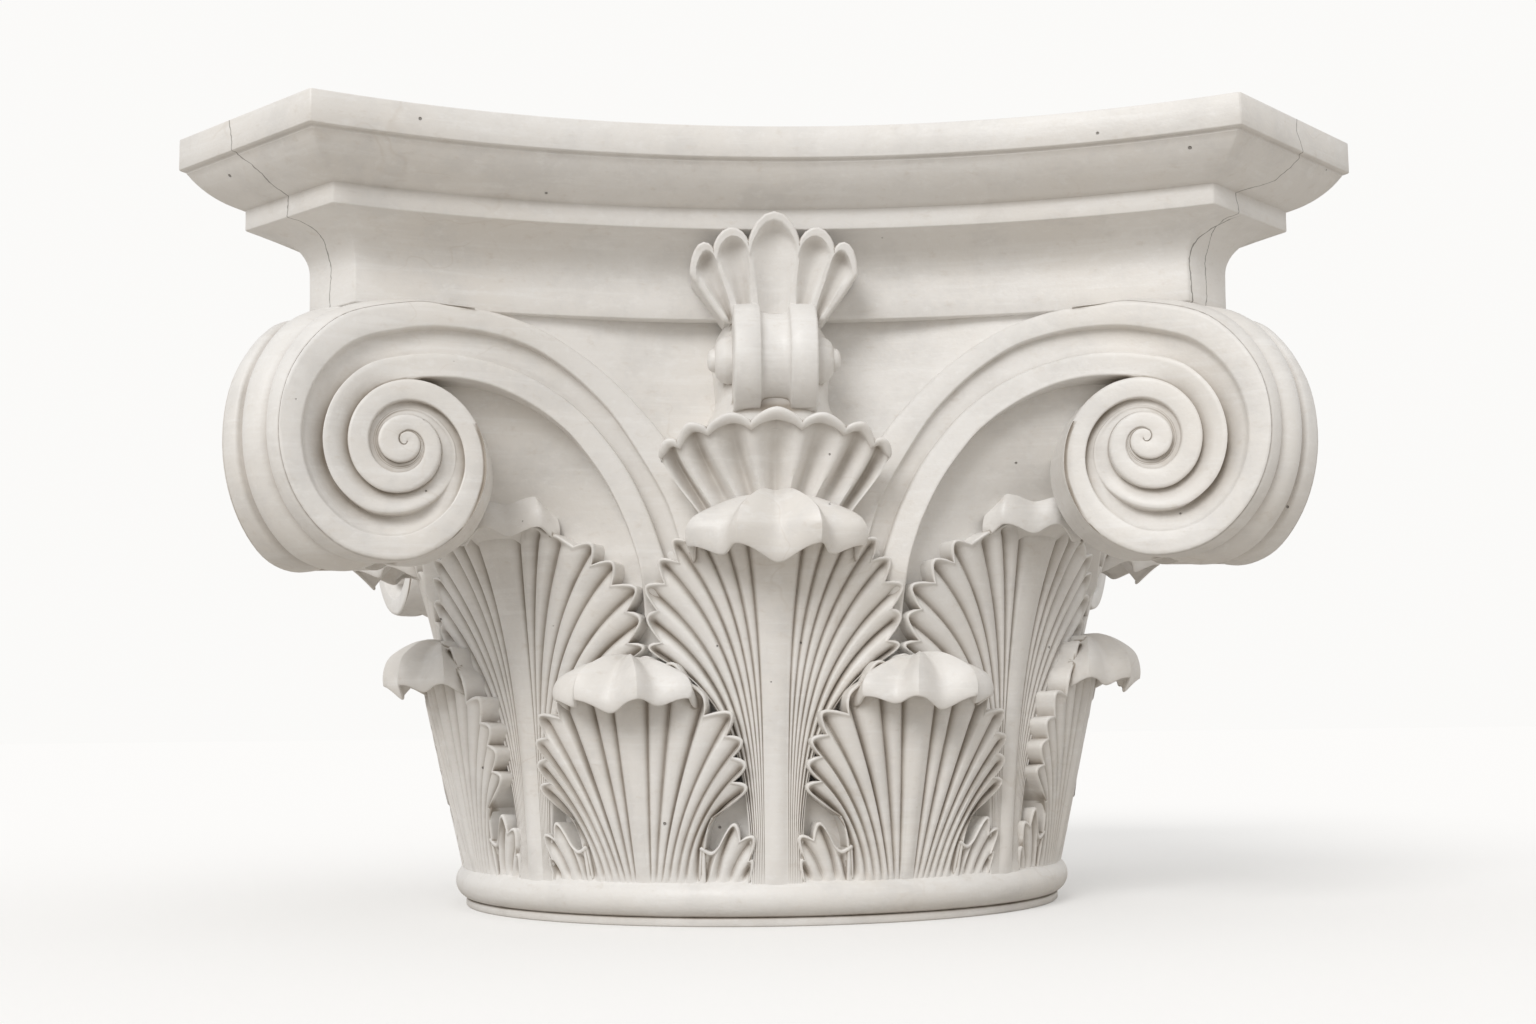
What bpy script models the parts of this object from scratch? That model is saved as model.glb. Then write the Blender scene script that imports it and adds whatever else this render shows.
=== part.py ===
"""Corinthian capital, carved from one block of pale stone.

The whole object is one solid. It is made as a turned foot, a bell that turns from round to the plan of the
abacus, two rings of leaves, four corner volutes with their ribbons, and a calyx, scroll and palmette on
each face, which a Boolean union then joins. The origin is the centre of the foot, and +Z is up.
"""
import bpy
import bmesh
from math import asin, atan2, cos, pi, radians, sin, sqrt
from mathutils import Matrix, Vector

# Foot: the seat of the column shaft, and the torus over it
FOOT_RADIUS = 0.200
FOOT_HEIGHT = 0.005
TORUS_RADIUS = 0.1955
TORUS_SECTION = 0.0115
TORUS_Z = 0.0165
TURNING_STEPS = 36

# Abacus: plan of its fascia, and heights of its mouldings
FACE_MID_DEPTH = 0.2779
FACE_ARC_RADIUS = 0.5242
FACE_ARC_CENTRE = FACE_MID_DEPTH + FACE_ARC_RADIUS
CORNER_DISTANCE = 0.4168
FACE_STEPS = 8
TOP_Z = 0.4538
FASCIA_Z = 0.4355
OVOLO_TOP = 0.4336
OVOLO_BOTTOM = 0.4136
FILLET_BOTTOM = 0.4017
CAVETTO_BOTTOM = 0.377
NECK_BOTTOM = 0.352
OVOLO_INSETS = (0.004, 0.030)
CAVETTO_INSETS = (0.032, 0.060)

# Bell: the ground behind all the carving
BELL_SINK = 0.013
BELL_FLARE_END = 0.212
BELL_FACE_INSET = 0.074
BELL_TURN = (0.235, 0.335)
BELL_STEPS = 36

# Leaves: how far their fronts stand from the axis, and their azimuths
LEAF_FOOT_Z = 0.030
LOWER_FRONT = 0.204
LOWER_LEAN = 0.2235
UPPER_FRONT = 0.2035
UPPER_LEAN = 0.08
UPPER_CURVE = 2.47
LEAF_COUNT = 8
SIDE_RISE = 0.010
LEAF_ROWS = 3
FLUTE_DEPTH = 0.0045
BACK_SINK = 0.012
STEM_TOP = 0.125
STEM_HALF_WIDTH = 0.015
LEAF_ROOT_Z = 0.022

# Radii at which places across the stems and the leaves are measured
STEM_ARC = 0.21
LOWER_ARC = 0.215
UPPER_ARC = 0.229

# Volutes: a spiral of quarter turns on each face of a corner
EYE_X = 0.205
EYE_Z = 0.2755
SPIRAL_RADIUS = 0.0783
SPIRAL_SHRINK = 0.81
SPIRAL_FLOOR = 0.046
SPIRAL_FRONT = 0.038
SPIRAL_BAND = 0.0125
SPIRAL_TURNS = 2.25
STEPS_A_TURN = 10

# Calyx, scroll and palmette over the middle leaf of each face
SCROLL_DEPTH = 0.232
SCROLL_Z = 0.3265
SCROLL_RADIUS = 0.031
CALYX_FOOT_Z = 0.225
PALMETTE_FOOT_Z = 0.352

# The joined block keeps this share of its facets, which holds it under ten thousand triangles
FACET_SHARE = 0.39

STONE_COLOUR = (0.80, 0.77, 0.73, 1.0)


def clear_scene():
    """Take away whatever the file opened with."""
    for item in list(bpy.data.objects):
        bpy.data.objects.remove(item, do_unlink=True)


def new_collection(name):
    """A collection of the scene, made new."""
    group = bpy.data.collections.new(name)
    bpy.context.scene.collection.children.link(group)
    return group


def stone():
    """Pale, dull limestone."""
    material = bpy.data.materials.new("pale stone")
    material.use_nodes = True
    shader = material.node_tree.nodes["Principled BSDF"]
    shader.inputs["Base Color"].default_value = STONE_COLOUR
    shader.inputs["Roughness"].default_value = 0.7
    shader.inputs["Metallic"].default_value = 0.0
    return material


def add_object(name, mesh, group):
    """Put a mesh in the scene as an object of a collection."""
    item = bpy.data.objects.new(name, mesh)
    group.objects.link(item)
    return item


def as_operand(item):
    """Mark an object as one that is only joined to the block."""
    item.hide_render = True
    item.display_type = 'WIRE'
    return item


def mix(start, end, share):
    """The value at a share of the way from start to end."""
    return start + (end - start) * share


def smooth_share(value, low, high):
    """0 below low, 1 above high, and an S curve between."""
    share = min(1.0, max(0.0, (value - low) / (high - low)))
    return share * share * (3.0 - 2.0 * share)


def on_axis(azimuth, radius, z):
    """A point by its azimuth from the front (-Y), its distance from the axis and its height."""
    return Vector((radius * sin(azimuth), -radius * cos(azimuth), z))


def turned_about(angle):
    """The rotation that carries the front face to another azimuth."""
    return Matrix.Rotation(angle, 4, 'Z')


def face_point(along, inset, z):
    """A point of the front's concave face, by its distance along the arc from the middle."""
    arc = FACE_ARC_RADIUS + inset
    angle = along / arc
    return Vector((arc * sin(angle), arc * cos(angle) - FACE_ARC_CENTRE, z))


def corner_half_width(inset):
    """Half the width of the concave face, where it meets the cut corner, as an x value."""
    arc = FACE_ARC_RADIUS + inset
    rest = FACE_ARC_CENTRE - sqrt(2.0) * (CORNER_DISTANCE - inset)
    return (sqrt(2.0 * arc * arc - rest * rest) - rest) / 2.0


def plan_radius(azimuth, inset):
    """Distance from the axis to the abacus plan at an azimuth."""
    arc = FACE_ARC_RADIUS + inset
    turn = (azimuth + pi / 4.0) % (pi / 2.0) - pi / 4.0
    half = corner_half_width(inset)
    corner_sum = sqrt(2.0) * (CORNER_DISTANCE - inset)
    if abs(turn) > atan2(half, corner_sum - half):
        return corner_sum / (abs(sin(turn)) + cos(turn))
    return FACE_ARC_CENTRE * cos(turn) - sqrt(arc * arc - (FACE_ARC_CENTRE * sin(turn)) ** 2)


def upper_front(z):
    """Distance from the axis to the fronts of the upper leaves."""
    rise = max(0.0, z - LEAF_FOOT_Z)
    return UPPER_FRONT + UPPER_LEAN * rise + UPPER_CURVE * rise ** 3


def lower_front(z):
    """Distance from the axis to the fronts of the lower leaves."""
    return LOWER_FRONT + LOWER_LEAN * (z - LEAF_FOOT_Z)


def bell_radius(azimuth, z):
    """Distance from the axis to the bell, which turns from round to the plan of the abacus."""
    ring = upper_front(min(z, BELL_FLARE_END)) - BELL_SINK
    share = smooth_share(z, *BELL_TURN)
    return mix(ring, plan_radius(azimuth, BELL_FACE_INSET), share)


def loft(name, rings, group):
    """A closed solid over rings of as many points each, listed anticlockwise, from the bottom up."""
    shape = bmesh.new()
    rows = []
    for ring in rings:
        rows.append([shape.verts.new(point) for point in ring])
    count = len(rows[0])
    for below, above in zip(rows, rows[1:]):
        for i in range(count):
            j = (i + 1) % count
            shape.faces.new((below[i], below[j], above[j], above[i]))
    shape.faces.new(list(reversed(rows[0])))
    shape.faces.new(rows[-1])
    bmesh.ops.triangulate(shape, faces=shape.faces[:])
    mesh = bpy.data.meshes.new(name)
    shape.to_mesh(mesh)
    shape.free()
    return add_object(name, mesh, group)


def turned(name, profile, steps, group):
    """A turned solid: its profile runs from the top down its outer side."""
    mesh = bpy.data.meshes.new(name)
    points = [(radius, 0.0, z) for radius, z in profile]
    edges = [(i, i + 1) for i in range(len(points) - 1)]
    mesh.from_pydata(points, edges, [])
    item = add_object(name, mesh, group)
    screw = item.modifiers.new("turning", 'SCREW')
    screw.steps = steps
    screw.render_steps = steps
    screw.use_merge_vertices = True
    screw.merge_threshold = 0.00001
    return item


def foot_profile():
    """The fillet and torus, over a plug that runs up into the bell."""
    points = [(0.0, 0.060), (0.150, 0.060), (0.185, 0.034)]
    for i in range(8):
        angle = radians(mix(100.0, -85.0, i / 7.0))
        points.append((TORUS_RADIUS + TORUS_SECTION * cos(angle), TORUS_Z + TORUS_SECTION * sin(angle)))
    points += [(FOOT_RADIUS, FOOT_HEIGHT), (FOOT_RADIUS, 0.0), (0.0, 0.0)]
    return points


def abacus_ring(inset, z):
    """One level of the abacus: four concave faces and four cut corners."""
    arc = FACE_ARC_RADIUS + inset
    reach = arc * asin(corner_half_width(inset) / arc)
    ring = []
    for face in range(4):
        turn = turned_about(face * pi / 2.0)
        for i in range(FACE_STEPS + 1):
            along = mix(-reach, reach, i / FACE_STEPS)
            ring.append(turn @ face_point(along, inset, z))
    return ring


def abacus_levels():
    """Inset and height of each edge of the abacus mouldings, from the bottom up."""
    levels = [(CAVETTO_INSETS[1] + 0.010, NECK_BOTTOM), (CAVETTO_INSETS[1], NECK_BOTTOM)]
    for i in range(4):
        angle = radians(90.0 - 30.0 * i)
        inset = CAVETTO_INSETS[0] + (CAVETTO_INSETS[1] - CAVETTO_INSETS[0]) * sin(angle)
        levels.append((inset, CAVETTO_BOTTOM + (FILLET_BOTTOM - CAVETTO_BOTTOM) * cos(angle)))
    levels.append((OVOLO_INSETS[1], FILLET_BOTTOM))
    for i in range(4):
        angle = radians(90.0 - 30.0 * i)
        inset = OVOLO_INSETS[1] - (OVOLO_INSETS[1] - OVOLO_INSETS[0]) * cos(angle)
        levels.append((inset, OVOLO_TOP - (OVOLO_TOP - OVOLO_BOTTOM) * sin(angle)))
    levels += [(0.0, FASCIA_Z), (0.0, TOP_Z)]
    return levels


def make_bell(group):
    """The ground behind the carving, up into the abacus."""
    heights = (0.022, 0.08, 0.14, 0.18, BELL_FLARE_END, 0.245, 0.275, 0.305, 0.335, 0.370)
    rings = []
    for z in heights:
        ring = []
        for i in range(BELL_STEPS):
            azimuth = 2.0 * pi * i / BELL_STEPS
            ring.append(on_axis(azimuth, bell_radius(azimuth, z), z))
        rings.append(ring)
    return loft("bell", rings, group)


def patch(name, front, back, group):
    """A closed solid between a carved front and a plain back, both grids of rows of points."""
    shape = bmesh.new()
    fronts = [[shape.verts.new(point) for point in row] for row in front]
    backs = [[shape.verts.new(point) for point in row] for row in back]
    rows = len(fronts)
    columns = len(fronts[0])
    for i in range(rows - 1):
        for j in range(columns - 1):
            shape.faces.new((fronts[i][j], fronts[i][j + 1], fronts[i + 1][j + 1], fronts[i + 1][j]))
            shape.faces.new((backs[i][j], backs[i + 1][j], backs[i + 1][j + 1], backs[i][j + 1]))
    edge = [(0, j) for j in range(columns)]
    edge += [(i, columns - 1) for i in range(1, rows)]
    edge += [(rows - 1, j) for j in range(columns - 2, -1, -1)]
    edge += [(i, 0) for i in range(rows - 2, 0, -1)]
    for here, there in zip(edge, edge[1:] + edge[:1]):
        corners = [fronts[there[0]][there[1]], fronts[here[0]][here[1]]]
        corners += [backs[here[0]][here[1]], backs[there[0]][there[1]]]
        shape.faces.new(corners)
    bmesh.ops.triangulate(shape, faces=shape.faces[:])
    bmesh.ops.recalc_face_normals(shape, faces=shape.faces[:])
    mesh = bpy.data.meshes.new(name)
    shape.to_mesh(mesh)
    shape.free()
    return add_object(name, mesh, group)


def swept(start, end, share, bend):
    """A point of a flute that leaves its foot upright and turns outward by the bend."""
    angle = bend * pi / 2.0
    across = (1.0 - cos(share * angle)) / (1.0 - cos(angle))
    up = sin(share * angle) / sin(angle)
    return mix(start[0], end[0], across), mix(start[1], end[1], up)


def fan_lines(foot_start, foot_step, foot_z, ridges, tips):
    """Ridges and furrows of half a leaf, from its midrib out, as (foot, end, is furrow)."""
    lines = []
    for i, ridge in enumerate(ridges):
        foot = foot_start + foot_step * i
        lines.append(((foot, foot_z), ridge, False))
        if i < len(tips):
            lines.append(((foot + foot_step / 2.0, foot_z), tips[i], True))
    return lines


def leaf_back(z):
    """Distance from the axis to the backs of the leaves, inside the bell."""
    return upper_front(min(z, BELL_FLARE_END)) - BELL_SINK - BACK_SINK


def fan_grid(lines, rows, bend, front_at, azimuth, reference):
    """Front and back grids of a fluted leaf blade round its midrib."""
    across = []
    for foot, end, furrow in reversed(lines):
        across.append(((-foot[0], foot[1]), (-end[0], end[1]), furrow))
    across += lines
    front = []
    back = []
    for i in range(rows + 1):
        share = i / rows
        front_row = []
        back_row = []
        for foot, end, furrow in across:
            place, z = swept(foot, end, share, bend)
            depth = FLUTE_DEPTH * min(1.0, 0.35 + share) if furrow else 0.0
            angle = azimuth + place / reference
            front_row.append(on_axis(angle, front_at(z) - depth, z))
            back_row.append(on_axis(angle, leaf_back(z), z))
        front.append(front_row)
        back.append(back_row)
    return front, back


def leaf_head(name, azimuth, radius, z, half_width, reach, height, group):
    """The curled head of a leaf: a dome with five lobes along its hanging edge."""
    shape = bmesh.new()
    bmesh.ops.create_uvsphere(shape, u_segments=20, v_segments=4, radius=1.0)
    for vertex in shape.verts:
        side, out, up = vertex.co.x, -vertex.co.y, vertex.co.z
        turn = atan2(side, max(out, 0.0) + 0.001)
        lobe = 1.0 + 0.09 * cos(5.0 * turn) * smooth_share(out, -0.2, 0.3)
        droop = 0.55 * max(out, 0.0) ** 2 + 0.35 * side * side
        local_z = height * (up * (1.0 if up > 0.0 else 0.45) - droop)
        local_x = half_width * side * lobe
        local_out = radius + reach * out * lobe
        vertex.co = on_axis(azimuth, local_out, z + local_z) + local_x * on_axis(azimuth + pi / 2.0, 1.0, 0.0)
    bmesh.ops.triangulate(shape, faces=shape.faces[:])
    mesh = bpy.data.meshes.new(name)
    shape.to_mesh(mesh)
    shape.free()
    return add_object(name, mesh, group)


def side_rise(azimuth):
    """The lower leaves of the two side faces stand a little taller."""
    return SIDE_RISE * sin(azimuth) ** 2


def lower_leaf(index, group):
    """A lower leaf: a fluted fan with lobed edges, two small leaflets at its foot and a curled head."""
    azimuth = radians(22.5 + 45.0 * index)
    rise = side_rise(azimuth)
    ridges = [(0.010, 0.148), (0.034, 0.136), (0.040, 0.118), (0.051, 0.1066)]
    ridges += [(0.0545, 0.0946), (0.053, 0.0808), (0.040, 0.058)]
    tips = [(0.022, 0.146), (0.041, 0.130), (0.055, 0.1215), (0.061, 0.1045), (0.062, 0.091), (0.061, 0.076)]
    ridges = [(place, z + rise) for place, z in ridges]
    tips = [(place, z + rise) for place, z in tips]
    lines = fan_lines(0.0047, 0.0042, LEAF_ROOT_Z, ridges, tips)
    front, back = fan_grid(lines, LEAF_ROWS, 0.75, lower_front, azimuth, LOWER_ARC)
    made = [patch(f"lower leaf {index}", front, back, group)]
    outline = [(0.031, LEAF_ROOT_Z), (0.043, 0.052), (0.052, 0.057), (0.0535, 0.048), (0.064, 0.050)]
    outline.append((0.060, LEAF_ROOT_Z))
    for side in (-1.0, 1.0):
        made.append(leaflet(f"leaflet {index} {side:.0f}", outline, side, azimuth, group))
    made.append(leaf_head(f"lower head {index}", azimuth, 0.222, 0.147 + rise, 0.046, 0.031, 0.018, group))
    return made


def leaflet(name, outline, side, azimuth, group):
    """A small lobed leaflet at the foot of a lower leaf."""
    rings = []
    for front_at in (leaf_back, lower_front):
        ring = []
        for place, z in outline:
            ring.append(on_axis(azimuth + side * place / LOWER_ARC, front_at(z), z))
        rings.append(ring if side > 0.0 else list(reversed(ring)))
    item = loft(name, rings, group)
    shape = bmesh.new()
    shape.from_mesh(item.data)
    bmesh.ops.recalc_face_normals(shape, faces=shape.faces[:])
    shape.to_mesh(item.data)
    shape.free()
    return item


def stem(name, azimuth, group):
    """The stem of an upper leaf, from the torus up to its fan."""
    right = [(0.006, 0.0), (0.0085, 0.007), (STEM_HALF_WIDTH, 0.008)]
    section = [(-place, sunk) for place, sunk in reversed(right)] + right
    rings = []
    for z in (LEAF_ROOT_Z, STEM_TOP):
        ring = []
        for place, sunk in section:
            ring.append(on_axis(azimuth + place / STEM_ARC, upper_front(z) - sunk, z))
        for place in (STEM_HALF_WIDTH, -STEM_HALF_WIDTH):
            ring.append(on_axis(azimuth + place / STEM_ARC, leaf_back(z), z))
        rings.append(ring)
    return loft(name, rings, group)


def upper_leaf(index, group):
    """An upper leaf: its stem runs down between two lower leaves."""
    azimuth = radians(45.0 * index)
    corner = index % 2 == 1
    spread = 1.12 if corner else 1.0
    lift = 0.004 if corner else 0.0
    ridges = [(0.012, 0.236), (0.040, 0.225), (0.056, 0.214), (0.065, 0.204), (0.070, 0.190), (0.068, 0.172)]
    ridges.append((0.055, 0.150))
    tips = [(0.026, 0.234), (0.050, 0.226), (0.0665, 0.219), (0.075, 0.203), (0.0765, 0.186), (0.074, 0.166)]
    ridges = [(place * spread, z + lift) for place, z in ridges]
    tips = [(place * spread, z + lift) for place, z in tips]
    lines = fan_lines(0.0075, 0.0018, 0.095, ridges, tips)
    front, back = fan_grid(lines, LEAF_ROWS, 0.5, upper_front, azimuth, UPPER_ARC)
    made = [patch(f"upper leaf {index}", front, back, group)]
    made.append(stem(f"stem {index}", azimuth, group))
    radius = 0.226 if corner else 0.236
    reach = 0.026 if corner else 0.034
    made.append(leaf_head(f"upper head {index}", azimuth, radius, 0.2375 + lift, 0.054, reach, 0.021, group))
    return made


def spiral(turns):
    """Distance from the eye to the outer edge of the band after so many turns from the top."""
    return SPIRAL_RADIUS * SPIRAL_SHRINK ** (4.0 * turns)


def mirrored_across_corner(point):
    """The same place on the other face of the front's right corner."""
    return Vector((-point.y, -point.x, point.z))


def eye_along(inset):
    """Distance along the face from its middle to the eye of the volute."""
    arc = FACE_ARC_RADIUS + inset
    return arc * asin(EYE_X / arc)


def volute_block(index, group):
    """The body of a corner volute, between its two spiral faces."""
    ring = []
    steps = STEPS_A_TURN + 3
    last_turn = 0.80
    for i in range(steps + 1):
        turns = last_turn * i / steps
        angle = pi / 2.0 - 2.0 * pi * turns
        radius = spiral(turns) - 0.0004
        along = eye_along(SPIRAL_FLOOR) + radius * cos(angle)
        ring.append(face_point(along, SPIRAL_FLOOR, EYE_Z + radius * sin(angle)))
    ring.append(face_point(eye_along(SPIRAL_FLOOR) - 0.050, SPIRAL_FLOOR, EYE_Z + 0.045))
    ring.reverse()
    other = [mirrored_across_corner(point) for point in ring]
    turn = turned_about(index * pi / 2.0)
    rings = [[turn @ point for point in other], [turn @ point for point in ring]]
    return loft(f"volute {index}", rings, group)


def band(name, sections, group):
    """A closed strip through sections of as many points each."""
    item = loft(name, sections, group)
    shape = bmesh.new()
    shape.from_mesh(item.data)
    bmesh.ops.recalc_face_normals(shape, faces=shape.faces[:])
    shape.to_mesh(item.data)
    shape.free()
    return item


def spiral_band(index, side, group):
    """The raised band that winds in to the eye on one face of a corner."""
    sections = []
    count = int(STEPS_A_TURN * SPIRAL_TURNS)
    for i in range(count + 1):
        turns = i / STEPS_A_TURN
        angle = pi / 2.0 - 2.0 * pi * turns
        outer = spiral(turns)
        inner = outer - SPIRAL_BAND * SPIRAL_SHRINK ** (1.6 * turns)
        section = []
        for radius, inset in ((outer, SPIRAL_FLOOR + 0.006), (outer, SPIRAL_FRONT),
                              (inner, SPIRAL_FRONT), (inner, SPIRAL_FLOOR + 0.006)):
            along = eye_along(SPIRAL_FRONT) + radius * cos(angle)
            section.append(face_point(side * along, inset, EYE_Z + radius * sin(angle)))
        sections.append(section)
    turn = turned_about(index * pi / 2.0)
    sections = [[turn @ point for point in section] for section in sections]
    return band(f"spiral band {index} {side:.0f}", sections, group)


def ribbon(index, side, group):
    """The ribbon of two bands and a channel that climbs from behind the leaves to the volute."""
    sections = []
    steps = 6
    top_along = eye_along(SPIRAL_FRONT) + 0.010
    top_z = EYE_Z + SPIRAL_RADIUS
    for i in range(steps + 1):
        share = i / steps
        angle = share * radians(82.0)
        centre_along = top_along
        reach = top_along - 0.060
        height = top_z - 0.195
        inset = mix(SPIRAL_FRONT, 0.064, smooth_share(share, 0.1, 1.0))
        section = []
        for narrow, proud in ((0.0, -0.020), (0.0, 0.0), (0.012, 0.0), (0.015, -0.006),
                              (0.024, -0.006), (0.026, -0.001), (0.038, -0.001), (0.038, -0.020)):
            along = centre_along - (reach - narrow) * sin(angle)
            z = top_z - height + (height - narrow) * cos(angle)
            section.append(face_point(side * along, inset - proud, z))
        sections.append(section)
    turn = turned_about(index * pi / 2.0)
    sections = [[turn @ point for point in section] for section in sections]
    return band(f"ribbon {index} {side:.0f}", sections, group)


def face_fan(name, index, lines, rows, depth_at, sink, group):
    """A fluted fan on the middle of a face, whose depth is a function of its height."""
    across = []
    for foot, end, furrow in reversed(lines):
        across.append(((-foot[0], foot[1]), (-end[0], end[1]), furrow))
    across += lines[1:] if lines[0][0][0] == 0.0 else lines
    turn = turned_about(index * pi / 2.0)
    front = []
    back = []
    for i in range(rows + 1):
        share = i / rows
        front_row = []
        back_row = []
        for foot, end, furrow in across:
            x = mix(foot[0], end[0], share)
            z = mix(foot[1], end[1], share)
            deep = 0.004 * share if furrow else 0.0
            front_row.append(turn @ Vector((x, -(depth_at(share) - deep), z)))
            back_row.append(turn @ Vector((x, -(depth_at(share) - sink), z)))
        front.append(front_row)
        back.append(back_row)
    return patch(name, front, back, group)


def calyx_depth(share):
    """Distance from the axis to the front of a calyx, from its foot to its lip."""
    return 0.236 + 0.030 * share ** 2


def palmette_depth(share):
    """Distance from the axis to the front of a palmette, from its foot to its tips."""
    return 0.240 + 0.020 * share


def calyx(index, group):
    """The fluted cup that opens over the head of the middle leaf."""
    ridges = [(0.012, 0.284), (0.030, 0.2825), (0.046, 0.280), (0.060, 0.275)]
    tips = [(0.021, 0.291), (0.039, 0.288), (0.054, 0.284)]
    lines = [((0.0, CALYX_FOOT_Z), (0.0, 0.292), True)]
    lines += fan_lines(0.009, 0.010, CALYX_FOOT_Z, ridges, tips)
    return face_fan(f"calyx {index}", index, lines, 2, calyx_depth, 0.050, group)


def palmette(index, group):
    """Five petals that stand before the cavetto and the fillet."""
    ridges = [(0.015, 0.390), (0.034, 0.386), (0.047, 0.371)]
    tips = [(0.0255, 0.403), (0.046, 0.394)]
    lines = [((0.0, PALMETTE_FOOT_Z), (0.0, 0.410), True)]
    lines += fan_lines(0.008, 0.006, PALMETTE_FOOT_Z, ridges, tips)
    return face_fan(f"palmette {index}", index, lines, 2, palmette_depth, 0.040, group)


def scroll(index, group):
    """The rolled scroll between calyx and palmette, turned about a level axis."""
    half = [(0.0, 0.0375), (0.008, 0.0375), (0.012, 0.033), (0.012, 0.026), (SCROLL_RADIUS, 0.025)]
    half += [(SCROLL_RADIUS, 0.010), (0.026, 0.006)]
    profile = half + [(radius, -place) for radius, place in reversed(half)]
    item = turned(f"scroll {index}", profile, 10, group)
    lay = Matrix.Translation(Vector((0.0, -SCROLL_DEPTH, SCROLL_Z))) @ Matrix.Rotation(pi / 2.0, 4, 'Y')
    item.matrix_world = turned_about(index * pi / 2.0) @ lay
    return item


def build():
    """Model the operands and join them into the block."""
    clear_scene()
    parts = new_collection("corinthian capital")
    shapes = new_collection("joined shapes")
    operands = [turned("foot", foot_profile(), TURNING_STEPS, shapes)]
    operands.append(loft("abacus", [abacus_ring(*level) for level in abacus_levels()], shapes))
    for index in range(LEAF_COUNT):
        operands += lower_leaf(index, shapes)
        operands += upper_leaf(index, shapes)
    for index in range(4):
        operands.append(volute_block(index, shapes))
        operands.append(calyx(index, shapes))
        operands.append(palmette(index, shapes))
        operands.append(scroll(index, shapes))
        for side in (-1.0, 1.0):
            operands.append(spiral_band(index, side, shapes))
            operands.append(ribbon(index, side, shapes))
    for item in operands:
        as_operand(item)
    capital = make_bell(parts)
    capital.name = "capital"
    capital.data.materials.append(stone())
    join = capital.modifiers.new("carving", 'BOOLEAN')
    join.operation = 'UNION'
    join.operand_type = 'COLLECTION'
    join.collection = shapes
    join.solver = 'MANIFOLD'
    facets = capital.modifiers.new("larger facets", 'DECIMATE')
    facets.ratio = FACET_SHARE
    return capital


build()
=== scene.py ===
"""The looks of a carved stone Corinthian capital.

Every zone of the block is a closed mesh of its own: the foot and bell, the abacus, the two rings of leaves,
the corner volutes with their ribbons, and the calyxes, scrolls and palmettes of the four faces. Together
they stand for the CAD's one solid. A zone that repeats is carved once, flat, and each copy is then bent
round the bell or turned to its face.
"""

from math import cos, pi, radians, sin, sqrt

import bmesh
import bpy
import numpy as np
from mathutils import Matrix, Vector
from mathutils.bvhtree import BVHTree


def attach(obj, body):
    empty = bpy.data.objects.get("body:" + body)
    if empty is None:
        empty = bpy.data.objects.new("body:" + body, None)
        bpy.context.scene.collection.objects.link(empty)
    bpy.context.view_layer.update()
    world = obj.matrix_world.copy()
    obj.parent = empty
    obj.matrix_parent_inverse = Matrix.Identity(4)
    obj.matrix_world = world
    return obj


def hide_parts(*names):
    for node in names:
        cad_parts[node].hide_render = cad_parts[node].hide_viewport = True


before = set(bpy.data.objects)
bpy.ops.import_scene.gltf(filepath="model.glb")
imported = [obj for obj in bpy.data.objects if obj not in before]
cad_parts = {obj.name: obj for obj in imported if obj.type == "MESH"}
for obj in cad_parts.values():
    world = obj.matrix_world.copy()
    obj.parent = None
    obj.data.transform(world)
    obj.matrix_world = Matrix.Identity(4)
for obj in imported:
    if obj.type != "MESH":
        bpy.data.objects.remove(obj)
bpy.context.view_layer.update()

# Plan of the abacus: concave faces between cut corners, as distances from the axis
FACE_ARC_RADIUS = 0.5242
FACE_ARC_CENTRE = 0.8021
CORNER_DISTANCE = 0.4168

# Mouldings of the abacus: heights, insets from the plan's edge, and the round of an arris
ABACUS_TOP = 0.4538
FASCIA_FOOT = 0.4355
OVOLO_RADIUS = 0.048
OVOLO_START = 57
FILLET_INSET = 0.0302
FILLET_FOOT = 0.4017
CAVETTO_WIDTH = 0.028
CAVETTO_HEIGHT = 0.0243
NECK_INSET = 0.0602
NECK_FOOT = 0.3548
ARRIS = 0.0007

# Foot and bell
FOOT_RADIUS = 0.200
FOOT_HEIGHT = 0.005
TORUS_RADIUS = 0.1955
TORUS_SECTION = 0.0115
TORUS_Z = 0.0165
BELL_FOOT = 0.024
BELL_TOP = 0.372
ROUND_TOP = 0.205
SQUARE_FROM = 0.312

# Leaves
LEAF_FOOT_Z = 0.030
LEAF_ROOT_Z = 0.020
LOWER_REACH = 0.215
UPPER_REACH = 0.229
LOWER_CEILING = 0.128
UPPER_CEILING = 0.228
LOWER_BACK = 0.026
UPPER_BACK = 0.030
SIDE_RISE = 0.019
CENTRE_RISE = 0.012
GROUND_SINK = 0.013
HEAD_ROOT = 0.004

# Volutes, as insets from the plan's edge
VOLUTE_FRONT = 0.038
RIBBON_FRONT = 0.062
VOLUTE_BACK = 0.082

# Camera: place in metres, lens in millimetres, turns in radians
CAMERA_PLACE = (-0.0562, -1.3282, 0.1146)
CAMERA_LENS = 44.79
CAMERA_YAW = 0.0475
CAMERA_PITCH = 0.1127
CAMERA_ROLL = 0.0115

# Colours of the stone
STONE_PALE = (0.826, 0.810, 0.787, 1.0)
STONE_WARM = (0.805, 0.770, 0.722, 1.0)
STONE_GREY = (0.735, 0.718, 0.695, 1.0)
STONE_WHITE = (0.890, 0.880, 0.862, 1.0)
# Painted shade: the warm dark colour laid into sheltered hollows and creases where shade falls
STONE_PAINTED_SHADE = (0.33, 0.28, 0.225, 1.0)
STONE_VEIN = (0.55, 0.47, 0.38, 1.0)
STONE_DARK = (0.10, 0.085, 0.07, 1.0)

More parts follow.
